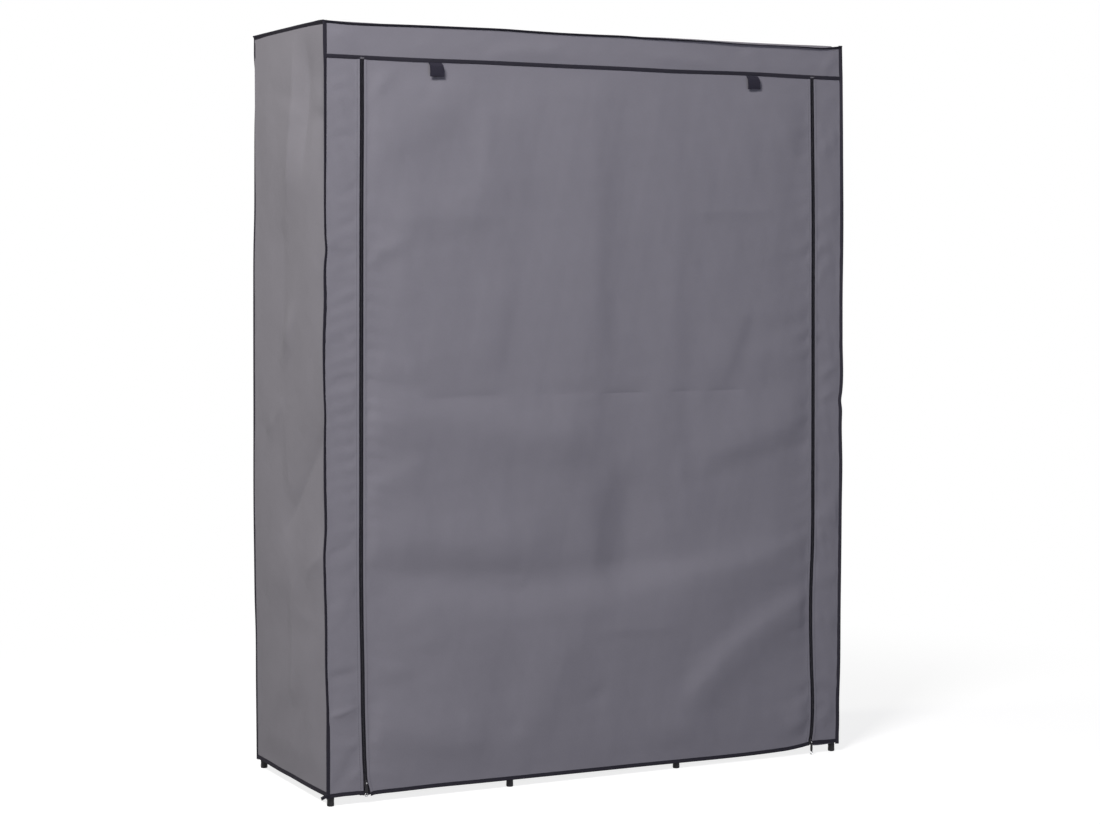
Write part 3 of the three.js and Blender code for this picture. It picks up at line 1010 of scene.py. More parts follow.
FRONT_FOLDS = (
    # Lines where the cloth was folded to pack it
    Fold(((-0.01, 1.66), (-0.014, 1.3), (-0.016, 1.0), (-0.018, 0.8), (-0.014, 0.69)), 0.0054, 0.05, 0.12, SOFT, 0.1),
    Fold(((-0.004, 1.14), (-0.008, 1.05), (-0.004, 0.96)), 0.0016, 0.03, 0.08),
    Fold(((0.2, 1.63), (0.199, 1.2), (0.2, 0.9), (0.204, 0.62)), 0.0022, 0.03, 0.07, SOFT, 0.3),
    Fold(((-0.206, 0.98), (-0.208, 0.8), (-0.206, 0.38)), -0.001, 0.03, 0.02, SOFT, 0.3),
    Fold(((-0.46, 0.882), (-0.33, 0.884), (-0.2, 0.886)), -0.002, 0.012, 0.018),
    Fold(((-0.19, 0.888), (-0.08, 0.888), (0.02, 0.888)), -0.0012, 0.014, 0.012),
    Fold(((0.0, 0.884), (0.07, 0.885), (0.14, 0.884)), -0.0024, 0.009, 0.016, CREASE),
    Fold(((0.18, 0.884), (0.23, 0.885), (0.28, 0.884)), -0.002, 0.01, 0.018, CREASE),
    Fold(((0.28, 0.884), (0.34, 0.885), (0.4, 0.885)), -0.0026, 0.01, 0.016, CREASE),
    Fold(((0.2, 1.302), (0.35, 1.302), (0.5, 1.308)), 0.0022, 0.03, 0.014, CREASE),
    Fold(((0.0, 0.338), (0.1, 0.334), (0.21, 0.336)), 0.002, 0.03, 0.012, CREASE, 0.25),
    # Above the middle, on the left
    Fold(((-0.275, 1.57), (-0.272, 1.42), (-0.28, 1.3)), 0.0052, 0.12, 0.036),
    Fold(((-0.585, 1.44), (-0.45, 1.48), (-0.3, 1.6)), 0.0064, 0.09, 0.06, SOFT, 0.25),
    Fold(((-0.575, 1.53), (-0.53, 1.58), (-0.49, 1.62)), 0.003, 0.02, 0.018),
    Fold(((-0.405, 1.6), (-0.425, 1.555), (-0.44, 1.52)), -0.001, 0.014, 0.012),
    Fold(((-0.55, 1.27), (-0.47, 1.28), (-0.36, 1.29), (-0.22, 1.288)), 0.0046, 0.06, 0.04),
    Fold(((-0.58, 1.182), (-0.52, 1.213), (-0.46, 1.235)), 0.0032, 0.02, 0.02),
    Fold(((-0.58, 0.958), (-0.49, 0.95), (-0.41, 0.93)), 0.0026, 0.03, 0.026),
    Fold(((-0.235, 1.17), (-0.255, 1.05), (-0.275, 0.92)), 0.003, 0.034, 0.07),
    # Above the middle, on the right
    Fold(((0.39, 1.62), (0.45, 1.56), (0.52, 1.49), (0.55, 1.44)), 0.0036, 0.05, 0.04),
    Fold(((0.405, 1.1), (0.37, 1.02), (0.33, 0.9)), 0.0036, 0.022, 0.06, SOFT, 0.25),
    Fold(((0.4, 1.06), (0.5, 1.066), (0.57, 1.08)), 0.0014, 0.04, 0.02),
    Fold(((0.38, 0.95), (0.48, 0.975), (0.57, 0.985)), 0.002, 0.03, 0.05, SOFT, 0.25),
    # Swags across the middle
    Fold(
        ((-0.62, 0.845), (-0.45, 0.84), (-0.33, 0.82), (-0.2, 0.8), (-0.07, 0.79), (0.02, 0.8)),
        0.0078, 0.05, 0.066, SOFT, 0.2,
    ),
    Fold(((-0.59, 0.672), (-0.51, 0.706), (-0.43, 0.735)), 0.0036, 0.028, 0.04, SOFT, 0.2),
    Fold(((-0.62, 0.58), (-0.42, 0.57), (-0.25, 0.555), (-0.08, 0.56)), 0.0056, 0.06, 0.055, SOFT, 0.2),
    Fold(((0.0, 0.71), (0.06, 0.72), (0.12, 0.71)), 0.002, 0.04, 0.04),
    Fold(((0.2, 0.7), (0.235, 0.7)), 0.0036, 0.03, 0.03, SOFT, 0.5),
    Fold(((0.24, 0.715), (0.33, 0.75), (0.43, 0.776), (0.59, 0.835)), 0.0074, 0.07, 0.04, SOFT, 0.22),
    Fold(
        ((-0.6, 0.5), (-0.38, 0.488), (-0.22, 0.466), (-0.08, 0.47), (0.1, 0.485), (0.3, 0.5)),
        -0.005, 0.04, 0.04, SOFT, 0.15,
    ),
    Fold(((-0.03, 0.53), (0.09, 0.55), (0.19, 0.575)), -0.0195, 0.125, 0.12, SOFT, 0.5),
    Fold(
        ((-0.5, 0.42), (-0.38, 0.4), (-0.2, 0.375), (0.0, 0.385), (0.2, 0.43), (0.4, 0.47), (0.59, 0.53)),
        0.0074, 0.056, 0.15, SOFT, 0.2,
    ),
    Fold(((0.19, 0.445), (0.3, 0.456), (0.42, 0.475), (0.5, 0.5), (0.58, 0.52)), 0.0038, 0.03, 0.06, SOFT, 0.2),
    # Below them
    Fold(((0.21, 0.12), (0.31, 0.228), (0.41, 0.302), (0.5, 0.348), (0.6, 0.385)), 0.009, 0.034, 0.06, SOFT, 0.2),
    Fold(((-0.05, 0.37), (-0.12, 0.24), (-0.18, 0.08)), 0.0056, 0.05, 0.07),
    Fold(((-0.46, 0.45), (-0.43, 0.39), (-0.395, 0.31)), 0.0046, 0.035, 0.05),
    Fold(((-0.59, 0.292), (-0.52, 0.283), (-0.46, 0.28)), 0.0026, 0.02, 0.018),
    Fold(((-0.59, 0.178), (-0.46, 0.145), (-0.36, 0.125), (-0.26, 0.12)), 0.0072, 0.06, 0.044, SOFT, 0.2),
    Fold(((-0.24, 0.15), (-0.19, 0.14)), -0.0034, 0.022, 0.022, SOFT, 0.5),
    Fold(((-0.03, 0.195), (0.03, 0.19)), -0.0034, 0.022, 0.022, SOFT, 0.5),
    Fold(((0.16, 0.1), (0.26, 0.09)), 0.0022, 0.03, 0.03),
    Fold(((0.5, 0.075), (0.55, 0.09), (0.61, 0.13)), 0.0056, 0.035, 0.034),
)

LEFT_STRIP_FOLDS = (
    Fold(((-0.66, 0.195), (-0.62, 0.205), (-0.585, 0.218)), 0.0042, 0.014, 0.006, CREASE),
    Fold(((-0.65, 0.03), (-0.625, 0.065), (-0.59, 0.12)), -0.0036, 0.014, 0.016),
    Fold(((-0.655, 0.285), (-0.59, 0.293)), -0.0023, 0.006, 0.012, CREASE),
    Fold(((-0.655, 0.39), (-0.62, 0.44), (-0.59, 0.46)), 0.0018, 0.02, 0.02),
    Fold(((-0.66, 0.552), (-0.62, 0.562), (-0.59, 0.58)), -0.0034, 0.008, 0.016, CREASE),
    Fold(((-0.645, 0.925), (-0.6, 0.94)), -0.0027, 0.007, 0.014, CREASE),
    Fold(((-0.66, 1.005), (-0.6, 1.012)), -0.0027, 0.008, 0.014, CREASE),
    Fold(((-0.655, 1.205), (-0.63, 1.2), (-0.6, 1.17)), -0.0038, 0.014, 0.012),
    Fold(((-0.65, 1.14), (-0.6, 1.145)), -0.0019, 0.007, 0.014, CREASE),
    Fold(((-0.65, 1.45), (-0.59, 1.46)), -0.0019, 0.008, 0.014, CREASE),
)

RIGHT_STRIP_FOLDS = (
    Fold(((0.585, 1.42), (0.62, 1.47), (0.655, 1.5)), 0.0018, 0.02, 0.02),
    Fold(((0.585, 1.27), (0.62, 1.3), (0.655, 1.32)), 0.0014, 0.016, 0.02),
    Fold(((0.585, 1.2), (0.615, 1.23), (0.65, 1.26)), 0.001, 0.016, 0.016),
    Fold(((0.585, 1.13), (0.61, 1.17), (0.63, 1.21)), 0.0014, 0.014, 0.014),
    Fold(((0.59, 0.9), (0.63, 0.93), (0.655, 0.94)), 0.0024, 0.014, 0.014),
    Fold(((0.59, 0.85), (0.625, 0.868), (0.655, 0.872)), 0.0018, 0.012, 0.012),
    Fold(((0.58, 0.575), (0.66, 0.585)), 0.0034, 0.03, 0.036, SOFT, 0.15),
    Fold(((0.58, 0.42), (0.66, 0.425)), 0.0022, 0.02, 0.018, SOFT, 0.15),
    Fold(((0.58, 0.32), (0.66, 0.335)), 0.002, 0.03, 0.03, SOFT, 0.15),
    Fold(((0.6, 0.08), (0.645, 0.12)), 0.0016, 0.018, 0.02),
)

LEFT_FOLDS = (
    # The slope between the trough and the crease that come down from the roof
    Fold(
        ((0.036, 1.95), (0.032, 1.6), (0.025, 1.5), (0.01, 1.4), (-0.01, 1.3), (-0.034, 1.2)),
        0.0105, 0.05, 0.055, CREASE,
    ),
    Fold(((0.11, 1.95), (0.106, 1.6), (0.096, 1.5), (0.088, 1.42), (0.078, 1.33)), -0.0175, 0.12, 0.065, CREASE),
    # A buckle over a pressed line, in a broad hollow
    Fold(((-0.03, 1.5), (-0.05, 1.1), (-0.05, 0.9), (-0.03, 0.56)), -0.0075, 0.2, 0.12, SOFT, 0.25),
    Fold(((-0.05, 1.3), (-0.045, 1.12), (-0.04, 0.93)), -0.004, 0.05, 0.06, CREASE, 0.2),
    Fold(((0.03, 1.0), (-0.015, 1.02), (-0.055, 1.04)), 0.0115, 0.055, 0.065, SOFT, 0.5),
    Fold(((-0.03, 0.885), (-0.09, 0.83), (-0.15, 0.795)), 0.0045, 0.04, 0.03, CREASE, 0.25),
    Fold(((0.25, 0.86), (0.18, 0.79), (0.08, 0.69), (0.0, 0.61), (-0.07, 0.54)), -0.0125, 0.08, 0.05, CREASE, 0.3),
    Fold(((0.27, 0.59), (0.15, 0.54), (0.08, 0.5), (-0.05, 0.47), (-0.2, 0.44)), 0.0042, 0.05, 0.08, SOFT, 0.35),
    Fold(((0.27, 0.572), (0.185, 0.532), (0.115, 0.492)), 0.0042, 0.024, 0.022, CREASE),
    Fold(((-0.03, 0.83), (-0.02, 0.74), (0.0, 0.64)), 0.0034, 0.05, 0.014, CREASE),
    Fold(((0.05, 0.49), (0.018, 0.42), (0.02, 0.35)), 0.0034, 0.05, 0.012, CREASE),
    Fold(((0.022, 0.39), (0.03, 0.29), (0.026, 0.18)), 0.0034, 0.05, 0.012, CREASE),
    Fold(((0.22, 0.38), (0.12, 0.3), (-0.02, 0.22), (-0.18, 0.17)), 0.003, 0.045, 0.055),
)

RIGHT_FOLDS = (
    Fold(((-0.12, 1.66), (-0.1, 1.3), (-0.04, 1.0), (-0.06, 0.8)), 0.0088, 0.035, 0.03),
    Fold(((0.01, 1.69), (0.01, 1.2), (0.006, 0.7), (0.01, 0.2)), 0.0042, 0.014, 0.012, CREASE, 0.12),
    Fold(((0.12, 1.6), (0.14, 1.2), (0.06, 0.9), (0.1, 0.6)), -0.0072, 0.035, 0.035),
    Fold(((-0.21, 0.8), (-0.1, 0.64), (0.05, 0.56)), 0.0096, 0.03, 0.03),
    Fold(((0.21, 0.5), (0.08, 0.38), (-0.08, 0.32)), 0.0080, 0.03, 0.035),
    Fold(((-0.2, 1.24), (0.0, 1.235), (0.2, 1.24)), -0.0026, 0.008, 0.014, CREASE),
)

BACK_FOLDS = (
    Fold(((0.0, 1.68), (0.002, 1.0), (0.0, 0.1)), 0.0042, 0.016, 0.012, CREASE, 0.06),
    Fold(((-0.33, 1.68), (-0.328, 1.0), (-0.33, 0.1)), 0.0026, 0.012, 0.012, CREASE, 0.06),
    Fold(((0.33, 1.68), (0.328, 1.0), (0.33, 0.1)), 0.0026, 0.012, 0.012, CREASE, 0.06),
    Fold(((-0.6, 0.9), (0.0, 0.902), (0.6, 0.9)), -0.0029, 0.007, 0.01, CREASE, 0.06),
    Fold(((-0.6, 0.6), (-0.3, 0.5), (0.0, 0.47), (0.3, 0.5), (0.6, 0.6)), 0.0096, 0.035, 0.05),
    Fold(((-0.55, 1.35), (-0.3, 1.2), (0.1, 1.12), (0.4, 1.2)), 0.0072, 0.04, 0.05),
    Fold(((0.6, 1.5), (0.45, 1.38), (0.2, 1.32)), 0.0064, 0.035, 0.04),
    Fold(((-0.5, 0.15), (-0.1, 0.24), (0.2, 0.2), (0.5, 0.28)), 0.0072, 0.03, 0.04),
    Fold(((0.2, 0.75), (0.4, 0.72), (0.6, 0.8)), -0.0064, 0.03, 0.04),
)

BAND_FOLDS = (
    Fold(((0.6, 1.63), (0.625, 1.66), (0.65, 1.69)), 0.0022, 0.014, 0.018),
    Fold(((-0.65, 1.69), (-0.61, 1.66), (-0.58, 1.635)), 0.0029, 0.014, 0.012),
    Fold(((0.38, 1.69), (0.42, 1.66), (0.44, 1.63)), 0.0022, 0.02, 0.02),
    Fold(((-0.3, 1.63), (-0.2, 1.655), (-0.05, 1.66)), 0.0022, 0.014, 0.02),
    Fold(((0.1, 1.66), (0.25, 1.65), (0.36, 1.633)), 0.0022, 0.014, 0.014),
)


def dress_cloth(
    piece: Piece,
    cut: Place,
    node: str = "",
    trim: tuple[Piece, ...] = (),
    finish: Finish = COVER_CLOTH,
    body: str = ROOT,
) -> Piece:
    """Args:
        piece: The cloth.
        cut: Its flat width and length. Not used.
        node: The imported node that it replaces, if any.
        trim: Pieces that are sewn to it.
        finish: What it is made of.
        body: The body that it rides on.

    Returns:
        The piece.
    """
    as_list(trim)
    return dress(piece, finish, node, body)


# The cover


@dataclass(frozen=True)
class Walls:
    """Where the cover's walls and seams run. Every cloth piece and every seam takes its place from here."""

    half_width: float
    half_depth: float
    top: float
    seam_top: float
    hem: float
    door_top: float
    zip_x: float
    columns: tuple[float, ...]
    levels: tuple[float, ...]
    zip_gap: float = 0.005
    allowance: float = 0.006
    dip_reach: float = 0.03
    splay_top: float = 0.08

    FRONT = (0.0, -1.0, 0.0)
    LEFT = (-1.0, 0.0, 0.0)
    RIGHT = (1.0, 0.0, 0.0)
    BACK = (0.0, 1.0, 0.0)

    @classmethod
    def from_frame(cls) -> Walls:
        """Reads the walls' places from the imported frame."""
        roof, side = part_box("roof_panel")[1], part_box("left_side_panel")[1]
        slider_low, slider_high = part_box("right_zip_slider")
        door_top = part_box("door_panel")[1].z
        zip_x = (slider_low.x + slider_high.x) / 2
        columns = tuple(centre_of(f"upright_front_{column}").x for column in (1, 2, 3, 4))
        tubes = ("bottom_depth_rail_1", "shelf_frame_1", "shelf_frame_2", "shelf_frame_3", "top_depth_rail_1")
        levels = tuple(centre_of(tube).z for tube in tubes)
        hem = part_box("front_left_strip")[0].z
        return cls(roof.x, roof.y, roof.z, side.z, hem, door_top, zip_x, columns, levels)

    def props(self, bay_side: int = 0) -> tuple[Prop, ...]:
        """The tubes close behind a wall.

        Args:
            bay_side: Where the shelf bay stands on a long wall as seen from outside: -1 at the left, 1 at the
                right. 0 is for the end wall beside it.

        Returns:
            The bottom and top rails, the shelves' tubes, and on a long wall the uprights and their fittings.
        """
        reach, fitting = self.half_width, Fitting()
        bars = [Prop((-reach, level), (reach, level)) for level in (self.levels[0], self.levels[-1])]
        ends = sorted(bay_side * abs(x) for x in self.columns[:2]) if bay_side else (-reach, reach)
        bars += [Prop((ends[0], level), (ends[1], level)) for level in self.levels[1:-1]]
        if not bay_side:
            return tuple(bars)
        posts = [Prop((x, 0.0), (x, self.top)) for x in self.columns]
        size = fitting.arm, fitting.half_height
        joints = [
            Prop((x - size[0], level - size[1]), (x + size[0], level + size[1]), 0.0)
            for x in self.columns for level in self.levels
        ]
        return (*bars, *posts, *joints)

    def corner(self, x_side: int, y_side: int, slack: float = 0.0008) -> Edge:
        """An upright corner, with its drift along X.

        Args:
            x_side: -1 for the left, 1 for the right.
            y_side: -1 for the front, 1 for the rear.
            slack: How far the corner may drift inwards, before the cloth meets the fittings.

        Returns:
            The corner's line.
        """
        drift = CORNER_DRIFTS[x_side, y_side]

        def held(up: Array) -> Array:
            """The drift, at most the slack inwards."""
            return x_side * np.maximum(x_side * drift(up), -slack)

        return Edge(x_side * self.half_width, y_side * self.half_depth, held)

    def seam(self, x: Array, y: Array) -> Array:
        """The roof seam's height round the cover: it rises towards the rear, and dips along the front."""
        front = smooth((-y - self.half_depth + self.dip_reach) / self.dip_reach)
        return self.seam_top + SEAM_RISE(y) + FRONT_DIP(x) * front

    def zip_line(self, side: int) -> Edge:
        """The middle line of a zip."""
        return Edge(side * self.zip_x, -self.half_depth, ZIP_DRIFTS[side])

    def zip_edge(self, side: int, towards: int) -> Edge:
        """The cloth's folded edge beside a zip, on the side that towards points to.

        Below its slider, the left zip's door side turns away from its frame side.
        """
        line = self.zip_line(side)
        if side > 0 or towards < 0:
            return Edge(line.x + towards * self.zip_gap, line.y, line.drift)
        above = [height for height, _ in line.drift.knots if height > self.splay_top]
        heights = np.concatenate([np.linspace(0, self.splay_top, 17), above])
        knots = zip(heights.tolist(), (line.drift(heights) + ZIP_SPLAY(heights)).tolist())
        return Edge(line.x + towards * self.zip_gap, line.y, Wander(tuple(knots)))

    def puckers(self, seed: int) -> Relief:
        """Relief beside the zips: the cloth's doubled edge, the groove of its stitches, and level puckers.

        With d the distance from the folded edge, the doubled cloth adds 0.5 mm up to the stitches, the stitches
        press a groove 0.5 mm deep and 1.5 mm wide, and the puckers ripple with exp(-d / 34 mm) beyond them.
        """

        def relief(across: Array, up: Array) -> Array:
            """The relief at each place."""
            gap = np.abs(np.abs(across) - self.zip_x) - self.zip_gap
            doubled = 0.0005 * (1 - smooth((gap - self.allowance) / 0.0015))
            groove = -0.0005 * np.exp(-(((gap - self.allowance) / 0.0011) ** 2))
            side = np.where(across < 0, seed, seed + 1)
            slanted = up + 0.25 * gap
            wave = np.where(side == seed, ripple(slanted, seed, 0.052), ripple(slanted, seed + 1, 0.052))
            reach = smooth((gap - 0.004) / 0.012) * np.exp(-gap / 0.034)
            return doubled + groove + 0.0012 * wave * reach

        return relief


def soft_crumple(seed: int, fine: float = 0.00022, broad: float = 0.0007) -> Relief:
    """The small unevenness of hanging nonwoven: two crumples, about 45 mm and 190 mm across."""

    def relief(across: Array, up: Array) -> Array:
        """The relief at each place."""
        return fine * crumple(across, up, seed, 0.045) + broad * crumple(across, up, seed + 1, 0.19)

    return relief


CORNER_DRIFTS = {
    (-1, -1): Wander((
        (0.02, 0.004), (0.1, 0.0045), (0.2, 0.0039), (0.3, 0.0005), (0.4, 0.0002), (0.5, -0.0022), (0.55, -0.003),
        (0.6, 0.0), (0.7, -0.0009), (0.8, -0.0011), (0.86, -0.0004), (0.9, -0.0018), (1.0, -0.0023), (1.1, 0.001),
        (1.18, 0.001), (1.21, 0.0037), (1.24, 0.0018), (1.3, 0.0007), (1.4, 0.0016), (1.5, 0.0023), (1.6, 0.0025),
        (1.7, 0.0021),
    )),
    (1, -1): Wander((
        (0.02, -0.0074), (0.06, -0.0054), (0.12, -0.0053), (0.2, -0.0034), (0.35, -0.0028), (0.5, -0.0014),
        (0.6, -0.0008), (0.7, 0.0004), (0.8, -0.0018), (0.83, -0.0012), (0.853, -0.004), (0.872, -0.0012),
        (1.0, -0.0006), (1.1, -0.001), (1.25, 0.0004), (1.45, -0.0015), (1.6, -0.0034), (1.7, -0.0052),
    )),
    (-1, 1): Wander((
        (0.02, 0.0), (0.12, -0.0002), (0.2, -0.0006), (0.32, -0.0008), (0.4, -0.0031), (0.5, -0.0042),
        (0.7, -0.0044), (0.85, -0.0039), (1.0, -0.0038), (1.12, -0.0029), (1.22, -0.0019), (1.3, 0.0002),
        (1.4, 0.0012), (1.5, 0.0019), (1.58, 0.0036), (1.62, 0.0036), (1.66, 0.0011), (1.7, 0.0012),
    )),
    (1, 1): Wander(((0.02, 0.0), (0.5, 0.0018), (1.0, -0.0004), (1.4, 0.0022), (1.7, 0.0))),
}
ZIP_DRIFTS = {
    -1: Wander((
        (0.0, 0.0076), (0.03, 0.0074), (0.06, 0.0067), (0.1, 0.0046), (0.13, 0.0038), (0.2, 0.002), (0.3, 0.001),
        (0.4, -0.0008), (0.5, -0.0015), (0.7, -0.0008), (0.9, -0.0001), (1.1, 0.0008), (1.3, 0.0016), (1.5, 0.0034),
        (1.63, 0.0036),
    )),
    1: Wander((
        (0.0, -0.002), (0.03, 0.0006), (0.05, 0.004), (0.08, 0.0064), (0.12, 0.0074), (0.16, 0.0066), (0.2, 0.0044),
        (0.25, 0.0027), (0.3, 0.0014), (0.4, 0.0015), (0.5, 0.0052), (0.7, 0.0058), (0.9, 0.0054), (1.1, 0.0046),
        (1.3, 0.0039), (1.5, 0.0008), (1.63, -0.0014),
    )),
}
ZIP_SPLAY = Wander((
    (0.0, 0.0098), (0.02, 0.0074), (0.03, 0.0054), (0.04, 0.0026), (0.048, 0.0008), (0.056, 0.0), (0.08, 0.0),
))
FRONT_HEM = Wander((
    (-0.665, 0.0212), (-0.645, 0.0214), (-0.625, 0.022), (-0.605, 0.0216), (-0.595, 0.0216), (-0.585, 0.02),
    (-0.575, 0.0166), (-0.565, 0.0182), (-0.55, 0.0188), (-0.5, 0.0188), (-0.4, 0.0194), (-0.3, 0.0184),
    (-0.1, 0.017), (0.1, 0.0158), (0.5, 0.0154), (0.512, 0.0158), (0.524, 0.0167), (0.536, 0.0178), (0.548, 0.0193),
    (0.56, 0.0208), (0.572, 0.0226), (0.584, 0.0242), (0.6, 0.0245), (0.62, 0.0236), (0.665, 0.0231),
))
SIDE_HEM = Wander((
    (-0.23, 0.0219), (-0.145, 0.0217), (-0.065, 0.0211), (0.0, 0.0219), (0.1, 0.0217), (0.175, 0.0225), (0.23, 0.0232),
))
BACK_HEM = Wander(((-0.67, 0.0225), (-0.3, 0.0215), (0.0, 0.0235), (0.35, 0.021), (0.67, 0.0225)))
FRONT_DIP = Wander((
    (-0.67, -0.0005), (-0.6, -0.0037), (-0.475, -0.0029), (-0.415, -0.0017), (-0.355, -0.0007), (-0.235, -0.0002),
    (-0.175, -0.002), (-0.115, -0.0028), (0.0, -0.0017), (0.065, -0.0013), (0.125, -0.0026), (0.185, -0.0028),
    (0.245, -0.0023), (0.305, -0.0022), (0.365, -0.0031), (0.485, -0.0036), (0.56, -0.0044), (0.605, -0.005),
    (0.64, -0.002), (0.667, 0.0004),
))
SEAM_RISE = Wander((
    (-0.23, 0.0008), (-0.18, 0.0016), (-0.1, 0.0029), (0.0, 0.003), (0.1, 0.0036), (0.18, 0.0049), (0.23, 0.0056),
))


@dataclass(frozen=True)
class Cover:
    """The fixed cloth of the cover with its bound seams: sides, back, roof, top band and front strips.

    corner_leans are degrees: at a corner's ends, between them, and for the rear left one. strip_ends says how far
    each strip's hem tape runs past the strip: the left one's goes on behind the door.
    """

    walls: Walls
    tape: TapeSection = TapeSection()
    corner_section: TapeSection = TapeSection(0.0092)
    corner_root: float = 0.0022
    deeper: float = 0.0034
    tape_slack: float = 0.006
    hem_section: TapeSection = TapeSection(0.009, 0.0025)
    hem_root: float = 0.0079
    hem_wider: float = 0.0014
    strip_ends: tuple[Place, Place] = ((0.001, 0.014), (0.004, 0.001))
    corner_foot: float = 0.019
    corner_rise: float = 0.0048
    corner_leans: tuple[float, float, float] = (12.0, 34.0, 80.0)
    left_roof_wider: float = 0.0027
    lower_share: float = 0.8
    facing_cut: Place = (0.06, 0.015)
    tail_length: float = 0.021
    sag: float = 0.006
    rod_share: float = 0.28
    crown: float = 0.004
    roof_step: float = 0.0075
    roof_edge: float = 0.016

    def strip(self, side: int) -> Panel:
        """The fixed cloth between a front corner and a zip."""
        walls = self.walls
        seam, corner = walls.zip_edge(side, side), walls.corner(side, -1)
        return Panel(
            name=f"{SIDE_WORD[side]}_strip_cloth",
            start=corner if side < 0 else seam,
            end=seam if side < 0 else corner,
            low=FRONT_HEM,
            high=level_at(walls.door_top),
            outward=walls.FRONT,
            half_span=(walls.half_width - walls.zip_x - walls.zip_gap) / 2,
            middle=side * (walls.half_width + walls.zip_x + walls.zip_gap) / 2,
            folds=LEFT_STRIP_FOLDS if side < 0 else RIGHT_STRIP_FOLDS,
            extra=soft_crumple(21 + side, 0.0003, 0.0004),
            sewn=walls.puckers(31),
            belly=0.0006,
            hold=(0.012, 0.012, 0.02, 0.02),
            step=0.005,
        )

    def wall_panels(self) -> dict[str, Panel]:
        """The wide panels: the two sides, the back and the band over the door."""
        walls = self.walls
        held_ends, half_width, half_depth = (0.04, 0.04, 0.03), walls.half_width, walls.half_depth
        return {
            "left": Panel(
                "left_side_cloth", walls.corner(-1, 1), walls.corner(-1, -1), SIDE_HEM,
                lambda across: walls.seam(-half_width, -across), walls.LEFT, half_depth, folds=LEFT_FOLDS,
                extra=soft_crumple(41), belly=0.005, props=walls.props(), deepest=-0.02, hold=(*held_ends, 0.13),
            ),
            "right": Panel(
                "right_side_cloth", walls.corner(1, -1), walls.corner(1, 1), SIDE_HEM,
                lambda across: walls.seam(half_width, across), walls.RIGHT, half_depth, folds=RIGHT_FOLDS,
                extra=soft_crumple(51), belly=0.0035, props=walls.props()[:2], deepest=-0.009,
                hold=(*held_ends, 0.02),
            ),
            "back": Panel(
                "back_cloth", walls.corner(1, 1), walls.corner(-1, 1), BACK_HEM,
                lambda across: walls.seam(-across, half_depth), walls.BACK, half_width, folds=BACK_FOLDS,
                extra=soft_crumple(61), belly=0.003, props=walls.props(1), deepest=-0.009, marks=(0.004,),
                step=0.0085, hold=(*held_ends, 0.02),
            ),
            "band": Panel(
                "top_band_cloth", walls.corner(-1, -1), walls.corner(1, -1), level_at(walls.door_top),
                lambda across: walls.seam(across, -half_depth), walls.FRONT, half_width,
                extra=soft_crumple(71, 0.0003, 0.0006), belly=0.0012, hold=(0.02, 0.02, 0.02, 0.02),
                marks=(0.004,), folds=BAND_FOLDS,
            ),
        }

    def roof(self) -> Piece:
        """The roof: it rises from its seams over the top tubes, and sags between them.

        From its edge it rises to the crown over the top, with the smooth step of the distance over 16 mm. With u
        and v the shares across and along a bay, it drops by the sag times sin(pi u)^0.8 sin(pi v) in the left bay.
        A rod holds the others up along their middle, where 0.28 (1 - cos(4 pi v)) takes the place of sin(pi v).
        Along the front and rear it drops by 1.6 mm |sin(pi u)| more.
        """
        walls = self.walls
        across = np.arange(-1, 1, self.roof_step / walls.half_width)
        across = np.append(across, 1.0) * walls.half_width
        along = np.append(np.arange(-1, 1, self.roof_step / walls.half_depth), 1.0) * walls.half_depth
        x, y = np.meshgrid(across, along)
        rail = centre_of("top_depth_rail_4").x
        pitch = 2 * rail / 3
        bay = np.clip((x + rail) / pitch, 0, 2.999)
        u, v = bay % 1.0, np.clip((y + pitch / 2) / pitch, 0, 1)
        free = np.sin(math.pi * v)
        held = self.rod_share * (1 - np.cos(4 * math.pi * v))
        drop = self.sag * np.sin(math.pi * u) ** 0.8 * np.where(bay < 1, free, held)
        drop += 0.0016 * np.abs(np.sin(math.pi * u)) * smooth((np.abs(y) - 0.17) / 0.03)
        edge_gap = np.minimum(walls.half_width - np.abs(x), walls.half_depth - np.abs(y))
        border = walls.seam(x, y)
        rise = (walls.top + self.crown - border) * smooth(edge_gap / self.roof_edge)
        fine = 0.0004 * crumple(x, y, 81, 0.07) * smooth(edge_gap / 0.03)
        z = border + rise - drop + fine
        ends = {corner: drift(walls.top) for corner, drift in CORNER_DRIFTS.items()}
        rear = (y / walls.half_depth + 1) / 2
        left = ends[-1, -1] * (1 - rear) + ends[-1, 1] * rear
        right = ends[1, -1] * (1 - rear) + ends[1, 1] * rear
        face = joined(x + np.where(x < 0, left, right) * np.abs(x) / walls.half_width, y, z)
        shell = Shell()
        shell.sheet(face, face - Panel.thickness * Z_WAY, joined(x, y))
        return shell.make("roof_cloth")

